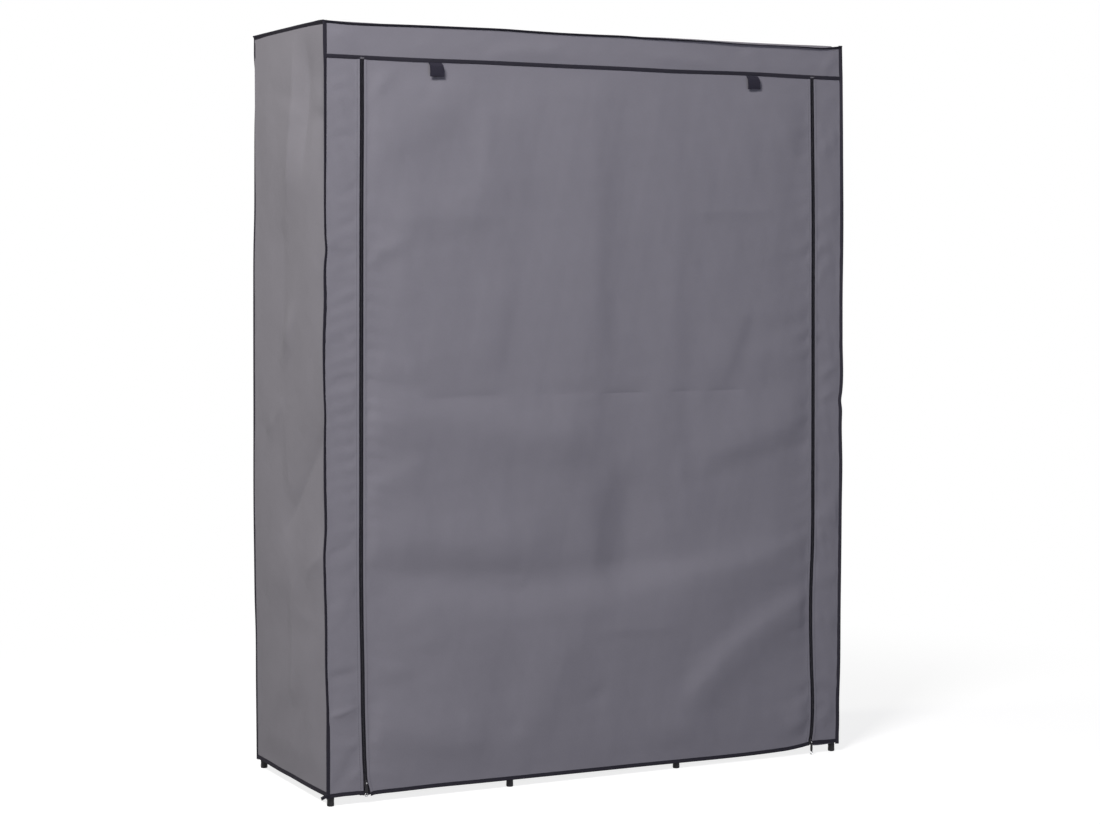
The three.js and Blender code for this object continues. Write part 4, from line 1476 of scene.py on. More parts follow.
    def corner_tape(self, x_side: int, y_side: int) -> Piece:
        """The binding of an upright corner, leaning outwards from the side towards the front or back.

        The lean from the side's own direction is 12 degrees at the ends and 34 degrees between. The rear left
        corner's binding is sewn deeper and pressed round to the back, so that it leans 80 degrees. A binding
        drifts further inwards than the cloth, which the fittings hold off.

        Args:
            x_side: -1 for the left, 1 for the right.
            y_side: -1 for the front, 1 for the rear.

        Returns:
            The binding.
        """
        walls = self.walls
        top = float(walls.seam(x_side * walls.half_width, y_side * walls.half_depth)) + self.corner_rise
        up = np.linspace(self.corner_foot, top, 260)
        path = walls.corner(x_side, y_side, self.tape_slack).at(up)
        least, most, pressed = self.corner_leans
        plain = least + (most - least) * smooth((up - 0.12) / 0.12) * smooth((1.66 - up) / 0.06)
        lean, root = plain, self.corner_root
        if (x_side, y_side) == (-1, 1):
            lean, root = pressed, root + self.deeper
        lean = np.radians(lean + 6 * ripple(up, 91 + x_side + 3 * y_side, 0.4))
        out = joined(x_side * np.cos(lean), y_side * np.sin(lean), 0.0)
        name = f"{SIDE_WORD[x_side]}_{'front' if y_side < 0 else 'rear'}_corner_binding"
        return flange(path, out, root, self.corner_section).make(name)

    def roof_tape(
        self, name: str, start: Edge, end: Edge, outward: Colour, lift: Wander, wider: float = 0.0
    ) -> Piece:
        """The binding of a roof seam, standing off at a lift above the level, in degrees.

        Args:
            name: The piece's name.
            start: The corner that the seam starts at, on the left as seen from outside.
            end: The corner that it ends at.
            outward: The wall's outward direction.
            lift: The lift, against the share of the seam.
            wider: How much wider than the others it is. The lower share of that reaches down over the wall.

        Returns:
            The binding.
        """
        walls = self.walls
        share = np.linspace(0, 1, 220)
        height = np.full_like(share, walls.seam_top)
        ends = start.at(height), end.at(height)
        path = ends[0] * (1 - share[:, None]) + ends[1] * share[:, None]
        path[:, 2] = walls.seam(path[:, 0], path[:, 1]) - self.lower_share * wider
        path[:, 2] += 0.0006 * ripple(share * np.linalg.norm(path[-1] - path[0]), 95, 0.3)
        angle = np.radians(lift(share))[:, None]
        out = np.cos(angle) * np.array(outward) + np.sin(angle) * Z_WAY
        section = replace(self.tape, width=self.tape.width + wider)
        return flange(path[::-1], out[::-1], section=section).make(name)

    def hem_tape(
        self, name: str, panel: Panel, ends: Place = (0.0002, 0.0002), wider: float = 0.0
    ) -> Piece:
        """The folded tape round a panel's lower edge.

        Args:
            name: The piece's name.
            panel: The panel.
            ends: How far it runs past the panel's two ends.
            wider: How much wider than the usual hem tape it is.

        Returns:
            The tape.
        """
        first, last = panel.middle - panel.half_span, panel.middle + panel.half_span
        across = np.linspace(first, last, max(40, round((last - first) / 0.008)))
        path = panel.locate(across, panel.low(across)) - 0.00045 * np.array(panel.outward)
        run = path[-1] - path[0]
        run /= np.linalg.norm(run)
        path = np.concatenate([path[:1] - ends[0] * run, path, path[-1:] + ends[1] * run])
        section = replace(self.hem_section, width=self.hem_section.width + wider)
        return flange(path, -Z_WAY, self.hem_root + wider, section).make(name)

    def tail(self) -> Piece:
        """The loose end of the side's hem tape, past the front left corner: to the left and down."""
        low = float(SIDE_HEM(0.23))
        corner = self.walls.corner(-1, -1).at(np.array([low]))[0]
        share = np.linspace(0, 1, 8)
        course = np.array([-0.96, -0.1, -0.22]) * self.tail_length
        bend = np.array([0.001, 0.0, -0.0015])
        root = corner + np.array([0.0037, -0.001, 0.004])
        path = root + share[:, None] * course + share[:, None] ** 2 * bend
        return flange(path, np.array([-0.32, 0.1, -0.94]), 0.004, TapeSection(0.008, 0.0026)).make("loose_tape_end")

    def facing(self) -> Piece:
        """The cloth's turned-in edge that shows below the right strip's hem."""
        walls = self.walls
        low = Wander(((0.58, 0.0212), (0.6, 0.0198), (0.63, 0.0203), (0.655, 0.0225)))
        back = -walls.half_depth + 0.0016
        start, end = Edge(0.588, back), Edge(0.648, back)
        return Panel(
            "right_hem_facing", start, end, low, level_at(0.0335), walls.FRONT, 0.03, 0.618,
            belly=0.0, step=0.004, marks=(), hold=(0.01,) * 4,
        ).make()

    def strip_stitches(self, side: int, panel: Panel) -> Piece:
        """The stitches that hold a strip's folded edge to its zip."""
        shell = Shell()
        sew_beside(shell, panel, side * (self.walls.zip_x + self.walls.zip_gap + self.walls.allowance))
        return shell.make(f"{SIDE_WORD[side]}_strip_stitches")

    def build(self) -> None:
        """Makes the panels and their tapes, and dresses them."""
        walls = self.walls
        panels = self.wall_panels()
        for x_side in (-1, 1):
            for y_side in (-1, 1):
                dress(self.corner_tape(x_side, y_side), BINDING)
        seams = (
            ("front", (-1, -1), (1, -1), walls.FRONT, Wander(((0, 50), (0.3, 40), (0.6, 30), (0.93, 10), (1, 45)))),
            ("left", (-1, 1), (-1, -1), walls.LEFT, Wander(((0, 62), (0.4, 70), (1, 60)))),
            ("right", (1, -1), (1, 1), walls.RIGHT, Wander(((0, 50), (0.5, 62), (1, 50)))),
            ("rear", (1, 1), (-1, 1), walls.BACK, Wander(((0, 50), (0.5, 36), (1, 50)))),
        )
        for name, start, end, outward, lift in seams:
            wider = self.left_roof_wider if name == "left" else 0.0
            ends = walls.corner(*start), walls.corner(*end)
            dress(self.roof_tape(f"{name}_roof_binding", *ends, outward, lift, wider), BINDING)
        trims = {
            key: (dress(self.hem_tape(f"{key}_hem_binding", panels[key], wider=self.hem_wider), BINDING),)
            for key in ("left", "right", "back")
        }
        dress(self.tail(), BINDING)
        height = walls.seam_top - walls.hem
        cuts = {
            "left": (2 * walls.half_depth, height), "right": (2 * walls.half_depth, height),
            "back": (2 * walls.half_width, height), "band": (2 * walls.half_width, walls.seam_top - walls.door_top),
        }
        nodes = {
            "left": "left_side_panel", "right": "right_side_panel", "back": "back_panel", "band": "front_top_band",
        }
        for key, panel in panels.items():
            dress_cloth(panel.make(), cuts[key], nodes[key], trims.get(key, ()))
        size = (2 * walls.half_width, 2 * walls.half_depth)
        dress_cloth(self.roof(), size, "roof_panel")
        for (side, word), ends in zip(SIDE_WORD.items(), self.strip_ends):
            panel = self.strip(side)
            tape = dress(self.hem_tape(f"{word}_strip_hem", panel, ends), BINDING)
            stitches = dress(self.strip_stitches(side, panel), THREAD)
            cut = (2 * panel.half_span, walls.door_top - walls.hem)
            dress_cloth(panel.make(), cut, f"front_{word}_strip", (tape, stitches))
        dress_cloth(self.facing(), self.facing_cut)


def sew_beside(shell: Shell, panel: Panel, across: float, clear: float = 0.006) -> None:
    """Sews a row of stitches up a panel.

    Args:
        shell: Gets the stitches.
        panel: The panel.
        across: Where the row runs.
        clear: How far it stays off the panel's lower and upper edge.
    """
    low = float(panel.low(np.array([across]))[0]) + clear
    high = float(panel.high(np.array([across]))[0]) - clear
    up = np.linspace(low, high, 400)
    path = panel.locate(np.full_like(up, across), up)
    Seam().along(shell, path, panel.outward)


@dataclass(frozen=True)
class Door:
    """The cloth door between the zips: it hangs from the band's binding, and its hem tape rides on the hem's body.

    tie_leans and tie_rooms are the left tie's and the right tie's: how far its end leans to the right, and how
    far it stands off the door. tie_share of that room adds to the length of each of its layers.
    """

    walls: Walls
    hem_level: float = 0.0172
    hem_ends: Place = (0.0005, 0.0035)
    rise: float = 1.45
    top_tape: tuple[float, float] = (0.0086, 0.0011)
    tie_leans: tuple[float, float] = (0.003, 0.0045)
    tie_rooms: tuple[float, float] = (0.0082, 0.0046)
    tie_bend: float = 0.008
    tie_share: float = 0.8
    tie_loose: float = 0.0028
    tie_gap: float = 0.0004
    tie_thickness: float = 0.0009

    def panel(self) -> Panel:
        """The door's cloth."""
        walls = self.walls
        return Panel(
            "door_cloth", walls.zip_edge(-1, 1), walls.zip_edge(1, -1), FRONT_HEM, level_at(walls.door_top),
            walls.FRONT, walls.zip_x - walls.zip_gap, folds=FRONT_FOLDS, extra=soft_crumple(11, 0.0002, 0.0008),
            sewn=walls.puckers(31), belly=0.0034, hold=(0.036, 0.036, 0.03, 0.07),
            lines=((), (0.885,)), props=walls.props(-1), deepest=-0.028,
        )

    def keep(self) -> float:
        """The share of its height that the drawn-up door keeps, so that its lower edge stays with the hem."""
        return 1 - self.rise / (self.walls.door_top - self.hem_level)

    def draw_up(self, piece: Piece) -> None:
        """Gives a piece its own copy of its mesh; the share that the drawn-up door keeps is worked out but not used."""
        self.keep()
        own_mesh(piece)

    def top_binding(self) -> Piece:
        """The flat tape across the top of the door, waving by about a millimetre."""
        walls = self.walls
        low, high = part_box("door_top_binding")
        across = np.linspace(low.x + 0.001, high.x - 0.001, 260)
        middle = (low.z + high.z) / 2 + 0.0007 * ripple(across, 101, 0.35)
        path = joined(across, (low.y + high.y) / 2 - 0.0002, middle)
        tilt = np.radians(4 + 5 * ripple(across, 102, 0.3))
        wide = joined(0.0, -np.sin(tilt), np.cos(tilt))
        half_width, half_thickness = (size / 2 for size in self.top_tape)
        turn = np.linspace(0, FULL_TURN, 16, endpoint=False)
        squared = np.sign(np.cos(turn)) * np.abs(np.cos(turn)) ** 0.35
        profile = np.stack([half_width * squared, half_thickness * np.sin(turn)], -1)
        shell = Shell()
        sweep(shell, path, profile, wide, np.cross(X_WAY, wide))
        return shell.make("door_top_tape")

    def tie(self, side: str, thread: float) -> Piece:
        """A tie strap: a ribbon that hangs from the binding, folds over at the bottom and goes back up.

        The ribbon's middle line goes down in front, round a half circle and up behind. Each point leans to the
        right by the share of its depth, and the layer behind keeps more to the left. Within the bend's height
        the ribbon turns outwards with a smooth step, which leaves room behind it for the door's cloth when that
        is drawn up.

        Args:
            side: "left" or "right".
            thread: How much it bellies and slants.

        Returns:
            The strap.
        """
        right, rows = int(side == "right"), 24
        low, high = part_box(f"{side}_tie")
        radius = (self.tie_gap + self.tie_thickness) / 2
        bottom, middle = low.z + radius, (low.y + high.y) / 2
        straight = high.z + (bottom - high.z) * np.linspace(0, 1, rows) ** 1.5
        turn = np.concatenate([np.zeros(rows), np.linspace(0, math.pi, 9)[1:-1], np.full(rows, math.pi)])
        z = np.concatenate([straight, bottom - radius * np.sin(turn[rows:-rows]), straight[::-1]])
        y = middle - radius * np.cos(turn)
        depth = (high.z - z) / (high.z - low.z)
        behind = np.concatenate([np.zeros(rows), smooth(np.linspace(0, 1, 7)), np.ones(rows)])
        belly = 0.0012 * np.sin(math.pi * depth) * (0.6 + thread)
        across = np.linspace(low.x, high.x, 18)
        share = (across - low.x) / (high.x - low.x)
        room = self.tie_rooms[right] * smooth((high.z - z) / self.tie_bend)
        lean = self.tie_leans[right] * depth - self.tie_loose * behind * depth
        curl = 0.0005 * np.cos(math.pi * share) * depth[:, None]
        slant = 0.0016 * thread * share * depth[:, None]
        centre = joined(across + lean[:, None], (y - belly - room)[:, None] - curl, z[:, None] + slant)[::-1]
        out = joined(0.0, -np.cos(turn), -np.sin(turn))[::-1, None] * self.tie_thickness / 2
        shell = Shell()
        shell.sheet(centre + out, centre - out, joined(across, travel(joined(y, z))[::-1, None]))
        return shell.make(f"{side}_tie_strap")

    def build(self) -> None:
        """Makes the door, its hem, its top tape and its ties, and dresses them."""
        walls, panel = self.walls, self.panel()
        seams = Shell()
        for side in (-1, 1):
            sew_beside(seams, panel, side * (walls.zip_x - walls.zip_gap - walls.allowance))
        stitches = dress(seams.make("door_stitches"), THREAD)
        hem = Cover(walls).hem_tape("door_hem_tape", panel, self.hem_ends)
        dress(hem, BINDING, "door_hem", "door_hem")
        size = (2 * panel.half_span, walls.door_top - walls.hem)
        cloth = dress_cloth(panel.make(), size, "door_panel", (hem, stitches))
        self.draw_up(cloth)
        self.draw_up(stitches)
        dress(self.top_binding(), BINDING, "door_top_binding")
        for side, thread in (("left", 0.3), ("right", 0.9)):
            node = f"{side}_tie"
            low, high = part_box(node)
            length = high.z - low.z + self.tie_share * self.tie_rooms[side == "right"]
            cut = (high.x - low.x, 2 * length)
            dress_cloth(self.tie(side, thread), cut, node, (), STRAP, node)


# The zips


@dataclass(frozen=True)
class ZipFastener:
    """One zip: two woven tapes with a row of coil teeth each, a slider and its pull."""

    walls: Walls
    side: int
    pin: Vector
    tooth_pitch: float = 0.0013
    tooth_length: float = 0.0033
    tooth_overlap: float = 0.0008
    tape_width: float = 0.0125
    tape_thickness: float = 0.0005
    tape_behind: float = 0.00095
    feet: Place = (0.019, 0.024)
    top_gap: float = 0.003
    slider_depth: float = 0.003
    pin_radius: float = 0.0008

    @property
    def word(self) -> str:
        """The zip's side in words."""
        return SIDE_WORD[self.side]

    @property
    def line_x(self) -> float:
        """Where the zip's line passes its slider."""
        return self.side * self.walls.zip_x + float(ZIP_DRIFTS[self.side](self.pin.z))

    def half_line(self, towards: int, up: Array) -> Array:
        """The middle line of one half, at those heights."""
        path = self.walls.zip_edge(self.side, towards).at(up)
        return path - towards * self.walls.zip_gap * X_WAY

    def half(self, towards: int, name: str) -> tuple[Piece, Piece]:
        """One half: its tape behind the cloth, and its teeth in the gap between the cloth's edges.

        Args:
            towards: The side of the zip's line that it lies on.
            name: Both pieces' names begin with it.

        Returns:
            The tape and the teeth.
        """
        low, high = self.feet[self.side > 0], self.walls.door_top - self.top_gap
        path = self.half_line(towards, np.linspace(low, high, 300))
        near, far = sorted((towards * 0.0002, towards * self.tape_width))
        face, back = self.tape_behind, self.tape_behind + self.tape_thickness
        profile = np.array([[near, face], [far, face], [far, back], [near, back]])
        tape = Shell()
        sweep(tape, path, profile, np.broadcast_to(X_WAY, path.shape), np.broadcast_to(Y_WAY, path.shape))
        places = np.arange(low + (self.tooth_pitch / 2 if towards > 0 else 0), high, self.tooth_pitch)
        centres = self.half_line(towards, places) - 0.0001 * Y_WAY
        run = unit(joined(np.gradient(centres[:, 0], places), 0.0, 1.0))
        depth = np.broadcast_to(Y_WAY, run.shape)
        teeth = Shell()
        turns = np.stack([np.cross(depth, run) * towards, depth * towards, run], -1)
        teeth.copies(self.tooth(), centres, turns)
        return tape.make(f"{name}_tape"), teeth.make(f"{name}_teeth")

    def tooth(self) -> Shell:
        """One tooth along X: a loop of thick thread, flat at its root and fuller at its head."""
        shell = Shell()
        x = np.array([-self.tooth_overlap, -0.0005, 0.0006, 0.0022, self.tooth_length])
        halves = np.array([[0.35, 0.25], [0.85, 0.55], [1.0, 0.5], [1.0, 0.45], [0.5, 0.3]]) / 1000
        loft(shell, joined(x, 0.0, 0.0), Y_WAY, Z_WAY, halves, 6, 0.9)
        return shell

    def slider(self) -> Piece:
        """The slider: a crowned plate with a wide mouth below, two lugs and the pin between them."""
        low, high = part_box(f"{self.word}_zip_slider")
        face = high.y - self.slider_depth
        x, middle = self.line_x, (high.y + face) / 2
        share = np.array([0.0, 0.03, 0.1, 0.25, 0.45, 0.65, 0.85, 0.96, 1.0])
        z = low.z + share * (high.z - low.z)
        halves = np.array([
            [2.9, 1.0], [3.7, 1.3], [4.3, 1.45], [4.5, 1.5], [4.1, 1.5], [3.3, 1.5], [2.9, 1.4], [2.5, 1.2], [1.9, 0.9],
        ]) / 1000
        shell = Shell()
        loft(shell, joined(x, middle, z), X_WAY, Y_WAY, halves, 24, 0.55)
        for lug in (-1, 1):
            out = np.array([0.0, 0.3, 0.75, 1.0]) * (self.pin.y - face - 0.0014)
            sizes = np.array([[0.6, 2.0], [0.6, 1.6], [0.6, 1.2], [0.5, 0.8]]) / 1000
            loft(shell, joined(x + lug * 0.0025, face + 0.0006 + out, self.pin.z), -X_WAY, Z_WAY, sizes, 16, 0.8)
        ends = [Vector((x + way * 0.0031, self.pin.y, self.pin.z)) for way in (-1, 1)]
        plain_rod(shell, ends[0], ends[1], self.pin_radius, 0.0003)
        return shell.make(f"{self.word}_slider_body")

    def ring(self, shell: Shell, centre: Array, axis: int, radius: float, halves: Place, squeeze: float = 1.0) -> None:
        """A closed ring round an axis, with a rounded section.

        Args:
            shell: Gets the surface.
            centre: The ring's centre.
            axis: 0 for a ring round X, 1 for one round Y.
            radius: Radius of the section's centre.
            halves: Half sizes of the section, outwards and along the axis.
            squeeze: Width of the ring over its height.
        """
        turn = np.linspace(0, FULL_TURN, 32, endpoint=False)
        small = np.linspace(0, FULL_TURN, 10, endpoint=False)
        around = np.zeros((32, 3))
        around[:, 1 - axis] = np.cos(turn) * squeeze * (1 if axis == 0 else -1)
        around[:, 2] = np.sin(turn)
        reach = radius + halves[0] * np.cos(small)
        rings = around[:, None] * reach[None, :, None] + halves[1] * np.sin(small)[None, :, None] * np.eye(3)[axis]
        shell.loop((centre + rings)[:, ::-1])

    def pull(self) -> tuple[Piece, Piece]:
        """The pull: a black blade that hangs from the pin, and its bright eye and end ring."""
        low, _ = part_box(f"{self.word}_zip_pull")
        pin = np.array([self.line_x, self.pin.y, self.pin.z])
        eye_depth, ring_radius, wall = 0.0014, 0.0034, 0.0009
        metal = Shell()
        self.ring(metal, pin, 0, eye_depth, (0.00048, 0.0012))
        ring_centre = np.array([pin[0], pin[1], low.z + ring_radius + wall])
        self.ring(metal, ring_centre, 1, ring_radius, (wall, 0.0006))
        top, bottom = pin[2] - 0.0013, ring_centre[2] + ring_radius - 0.0003
        share = np.array([0.0, 0.06, 0.16, 0.3, 0.55, 0.8, 0.93, 1.0])
        z = bottom + share * (top - bottom)
        halves = np.array([
            [1.7, 0.6], [2.6, 0.85], [3.2, 0.95], [3.4, 0.95], [3.2, 0.9], [2.6, 0.75], [1.8, 0.65], [0.9, 0.5],
        ]) / 1000
        blade = Shell()
        loft(blade, joined(pin[0], pin[1], z), X_WAY, Y_WAY, halves, 20, 0.6)
        return blade.make(f"{self.word}_pull_blade"), metal.make(f"{self.word}_pull_rings")

    def bartack(self, count: int = 9, pitch: float = 0.0011, height: float = 0.0034) -> Piece:
        """The close slanted stitches that lock the zip's top into the binding above the door.

        Args:
            count: How many there are.
            pitch: From one to the next.
            height: How far up each reaches.

        Returns:
            All of them as one piece.
        """
        low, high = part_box("door_top_binding")
        x = self.side * self.walls.zip_x + float(ZIP_DRIFTS[self.side](low.z))
        face, shell = low.y - 0.0006, Shell()
        for number in range(count):
            foot = Vector((x + (number - count / 2) * pitch, face, low.z + 0.0012))
            plain_rod(shell, foot, foot + Vector((0.0007, 0, height)), 0.00034, 0.0001)
        return shell.make(f"{self.word}_zip_bartack")

    def build(self, door: Door) -> None:
        """Makes and dresses both halves, the slider and the pull. The door's half gets its own mesh copy, as the door's
        cloth does.
        """
        for towards in (-1, 1):
            fixed = towards == self.side
            role = "frame" if fixed else "door"
            tape, teeth = self.half(towards, f"{self.word}_zip_{role}")
            dress(tape, ZIP_TAPE, f"{self.word}_zip_{role}_side")
            dress(teeth, COIL)
            if not fixed:
                door.draw_up(tape)
                door.draw_up(teeth)
        dress(self.bartack(), PALE_THREAD)
        slider_node, pull_node = f"{self.word}_zip_slider", f"{self.word}_zip_pull"
        dress(self.slider(), ZINC, slider_node, slider_node)
        blade, rings = self.pull()
        dress(blade, ZINC, pull_node, pull_node)
        dress(rings, RING, body=pull_node)


# The frame


def centre_of(node: str) -> Vector:
    """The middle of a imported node's box."""
    low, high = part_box(node)
    return (low + high) / 2


@dataclass(frozen=True)
class Fitting:
    """Plastic fittings that tubes plug into: round sockets with a thicker rim at each mouth."""

    radius: float = 0.0096
    rim: float = 0.0004
    rim_length: float = 0.003
    half_height: float = 0.016
    arm_root: float = 0.006
    arm: float = 0.0268

    def socket(self, shell: Shell, start: Vector, end: Vector) -> None:
        """A socket from start to end: the radius, plus the rim within its length of each end, eased in and out."""
        length = (end - start).length
        inset = np.array([0.0, 0.0004, self.rim_length - 0.0004, self.rim_length, self.rim_length + 0.001])
        places = np.concatenate([inset, length - inset[::-1]])

        def radii(place: Array) -> Array:
            """The radius at each place."""
            gap = np.minimum(place, length - place)
            rim = self.rim * (1 - smooth((gap - self.rim_length + 0.0004) / 0.0006))
            return self.radius + rim - 0.0004 * (1 - smooth(gap / 0.0004))

        rod(shell, start, end, radii, places)

    def node(self, shell: Shell, centre: Vector, arms: tuple[Vector, ...], up: float, down: float) -> None:
        """A sleeve round an upright, with its arms.

        Args:
            shell: Gets the surface.
            centre: Where the arms' axes meet the upright's.
            arms: The arms' directions.
            up: How far the sleeve reaches up from there.
            down: How far it reaches down.
        """
        rise = Vector((0, 0, 1))
        self.socket(shell, centre - rise * down, centre + rise * up)
        self.arms(shell, centre, arms)

    def arms(self, shell: Shell, centre: Vector, ways: tuple[Vector, ...]) -> None:
        """A socket from a centre towards each of the given directions."""
        for way in ways:
            self.socket(shell, centre + way * self.arm_root, centre + way * self.arm)


@dataclass(frozen=True)
class TubeFrame:
    """The steel tubes, the fittings that join them and the foot caps."""

    columns: int = 4
    tube_radius: float = 0.008
    tube_edge: float = 0.0005
    tube_inset: float = 0.011
    roof_gap: float = 0.0002
    coupler_half: float = 0.014
    coupler_places: tuple[float, ...] = (0.25, 0.5, 0.75)
    fitting: Fitting = Fitting()

    def tube(self, shell: Shell, start: Vector, end: Vector) -> None:
        """A tube between two points, its ends plugged into fittings."""
        plain_rod(shell, start, end, self.tube_radius, self.tube_edge)

    def place(self, row: str, column: int, level: float) -> Vector:
        """Where an upright's axis meets a level."""
        axis = centre_of(f"upright_{row}_{column}")
        return Vector((axis.x, axis.y, level))

    def uprights(self) -> None:
        """Each upright, with its plugged joints, and its foot cap."""
        for row in ("front", "rear"):
            for column in range(1, self.columns + 1):
                node = f"upright_{row}_{column}"
                low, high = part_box(node)
                shell = Shell()
                bottom, top = self.place(row, column, low.z), self.place(row, column, high.z)
                self.tube(shell, bottom, top)
                dress(shell.make(f"{row}_upright_tube_{column}"), STEEL, node)
                if column > 2:
                    couplers = Shell()
                    for share in self.coupler_places:
                        level = bottom.z + (top.z - bottom.z) * share
                        ends = [self.place(row, column, level + way * self.coupler_half) for way in (-1, 1)]
                        self.fitting.socket(couplers, *ends)
                    dress(couplers.make(f"{row}_upright_couplers_{column}"), FITTING)
                self.foot(row, column)

    def foot(self, row: str, column: int) -> None:
        """A foot cap: a cup over the upright's end, rounded below, with a bead at its rim."""
        node = f"foot_{row}_{column}"
        low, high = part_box(node)
        start, end = self.place(row, column, low.z), self.place(row, column, high.z)
        heights = np.array([0.0, 0.0003, 0.0009, 0.002, 0.004, 0.013, 0.0145, 0.0165, 0.018, 0.03, 0.043, 0.044])
        sizes = np.array([6.4, 7.2, 7.75, 8.0, 8.0, 7.7, 8.0, 8.0, 7.7, 7.6, 7.6, 7.2]) / 1000

        def radii(place: Array) -> Array:
            """The cap's radius at each height."""
            return np.interp(place, heights, sizes)

        shell = Shell()
        rod(shell, start, end, radii, heights)
        dress(shell.make(f"{row}_foot_cap_{column}"), FITTING, node)

    def rail_line(self, height: str, row: str) -> None:
        """The tubes along one front or rear edge, and their fittings at each upright."""
        node = f"{height}_rail_{row}"
        low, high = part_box(node)
        level = centre_of(f"{height}_depth_rail_1").z
        inward = Vector((0, 1 if row == "front" else -1, 0))
        tubes, fittings = Shell(), Shell()
        sideways = Vector((1, 0, 0))
        for column in range(1, self.columns + 1):
            centre = self.place(row, column, level)
            arms = [inward]
            if column < self.columns:
                arms.append(sideways)
                reach = self.place(row, column + 1, level)
                self.tube(tubes, centre + sideways * self.tube_inset, reach - sideways * self.tube_inset)
            if column > 1:
                arms.append(-sideways)
            self.fitting.node(fittings, centre, tuple(arms), high.z - level - self.roof_gap, level - low.z)
        dress(tubes.make(f"{height}_{row}_rail_tubes"), STEEL, node)
        dress(fittings.make(f"{height}_{row}_rail_fittings"), FITTING)

    def depth_rails(self, height: str) -> None:
        """The loose tubes from front to rear, and the side sockets that hold the hanging rods."""
        for column in range(1, self.columns + 1):
            node = f"{height}_depth_rail_{column}"
            low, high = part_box(node)
            level = self.place("front", column, centre_of(f"{height}_depth_rail_1").z)
            shell = Shell()
            self.tube(shell, Vector((level.x, low.y, level.z)), Vector((level.x, high.y, level.z)))
            dress(shell.make(f"{height}_depth_tube_{column}"), STEEL, node)
            ways = [way for way, edge in ((-1, low.x), (1, high.x)) if abs(edge - level.x) > 2 * self.tube_radius]
            if ways:
                holder, middle = Shell(), Vector((level.x, 0, level.z))
                along = Vector((0, self.fitting.half_height, 0))
                self.fitting.socket(holder, middle - along, middle + along)
                self.fitting.arms(holder, middle, tuple(Vector((way, 0, 0)) for way in ways))
                dress(holder.make(f"rod_holder_{column}"), FITTING)

    def rods(self) -> None:
        """The two hanging rods."""
        for bay in ("centre", "right"):
            low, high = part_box(f"hanging_rod_{bay}")
            middle = (low + high) / 2
            shell = Shell()
            self.tube(shell, Vector((low.x, middle.y, middle.z)), Vector((high.x, middle.y, middle.z)))
            dress(shell.make(f"{bay}_hanging_tube"), STEEL, f"hanging_rod_{bay}")

    def shelf_frame(self, number: int) -> None:
        """The four tubes of a shelf and the fittings at its corners."""
        node = f"shelf_frame_{number}"
        level = centre_of(node).z
        tubes, fittings = Shell(), Shell()
        sideways, depthways = Vector((1, 0, 0)), Vector((0, 1, 0))
        for row, inward in (("front", depthways), ("rear", -depthways)):
            left, right = self.place(row, 1, level), self.place(row, 2, level)
            self.tube(tubes, left + sideways * self.tube_inset, right - sideways * self.tube_inset)
            half = self.fitting.half_height
            self.fitting.node(fittings, left, (sideways, inward), half, half)
            self.fitting.node(fittings, right, (-sideways, inward), half, half)
        for column in (1, 2):
            front, rear = self.place("front", column, level), self.place("rear", column, level)
            self.tube(tubes, front + depthways * self.tube_inset, rear - depthways * self.tube_inset)
        dress(tubes.make(f"shelf_tubes_{number}"), STEEL, node)
        dress(fittings.make(f"shelf_fittings_{number}"), FITTING)

    def build(self) -> None:
        """Makes and dresses the whole frame."""
        self.uprights()
        for height in ("bottom", "top"):
            for row in ("front", "rear"):
                self.rail_line(height, row)
            self.depth_rails(height)
        self.rods()
        for number in (1, 2, 3):
            self.shelf_frame(number)


@dataclass(frozen=True)
class Shelves:
    """The cloths of the shelves and of the floor: each is sewn round its front and rear tubes, and sags a little."""

    sag: float = 0.003
    thickness: float = 0.0008
    tube_radius: float = 0.008
    wrap: float = math.radians(200)
    pocket: float = 0.03
    step: float = 0.0085

    def cloth(self, node: str, name: str) -> None:
        """One shelf cloth.

        Its profile from front to rear runs under the front tube, round it, across, round the rear tube and
        under it. Between the tubes it drops by the sag times sin(pi u)^0.5 sin(pi v), and crumples a little.
        """
        low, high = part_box(node)
        radius = self.tube_radius + 0.0006
        axis = high.y - self.tube_radius
        level = low.z - self.tube_radius - 0.0003
        turn = np.linspace(self.wrap, 0, 22)
        front = joined(-axis - radius * np.sin(turn), level + radius * np.cos(turn))
        start = front[0] + np.array([self.pocket, 0.0025])
        flat_y = np.linspace(-axis, axis, round(2 * axis / self.step))[1:-1]
        flat = joined(flat_y, level + radius)
        line = np.concatenate([[start], front, flat, front[::-1] * [-1, 1], [start * [-1, 1]]])
        run = runs_of(line)
        across = np.linspace(low.x, high.x, round((high.x - low.x) / self.step))
        u = (across - low.x) / (high.x - low.x)
        v = np.clip((line[:, 0] + axis) / (2 * axis), 0, 1)
        top = line[:, 1] > level + radius * 0.98
        sag = self.sag * np.sin(math.pi * v)[:, None] * np.sin(math.pi * u)[None] ** 0.5 * top[:, None]
        seed = sum(name.encode())
        sag = sag - 0.0004 * crumple(across[None], line[:, :1], seed, 0.08) * top[:, None]
        face = joined(across, line[:, :1], line[:, 1:] - sag)
        out = joined(0.0, -run[:, 1], run[:, 0])[:, None]
        lengths = travel(line)
        shell = Shell()
        shell.sheet(face + self.thickness * out, face, joined(across, lengths[:, None]))
        size = (high.x - low.x, float(lengths[-1]))
        dress_cloth(shell.make(name), size, node, finish=SHELF_CLOTH)

    def build(self) -> None:
        """Makes and dresses the shelf cloths and the floor cloths."""
        for number in (1, 2, 3):
            self.cloth(f"shelf_cloth_{number}", f"shelf_fabric_{number}")
        for bay in ("left", "centre", "right"):
            self.cloth(f"bottom_cloth_{bay}", f"{bay}_floor_fabric")


# The studio


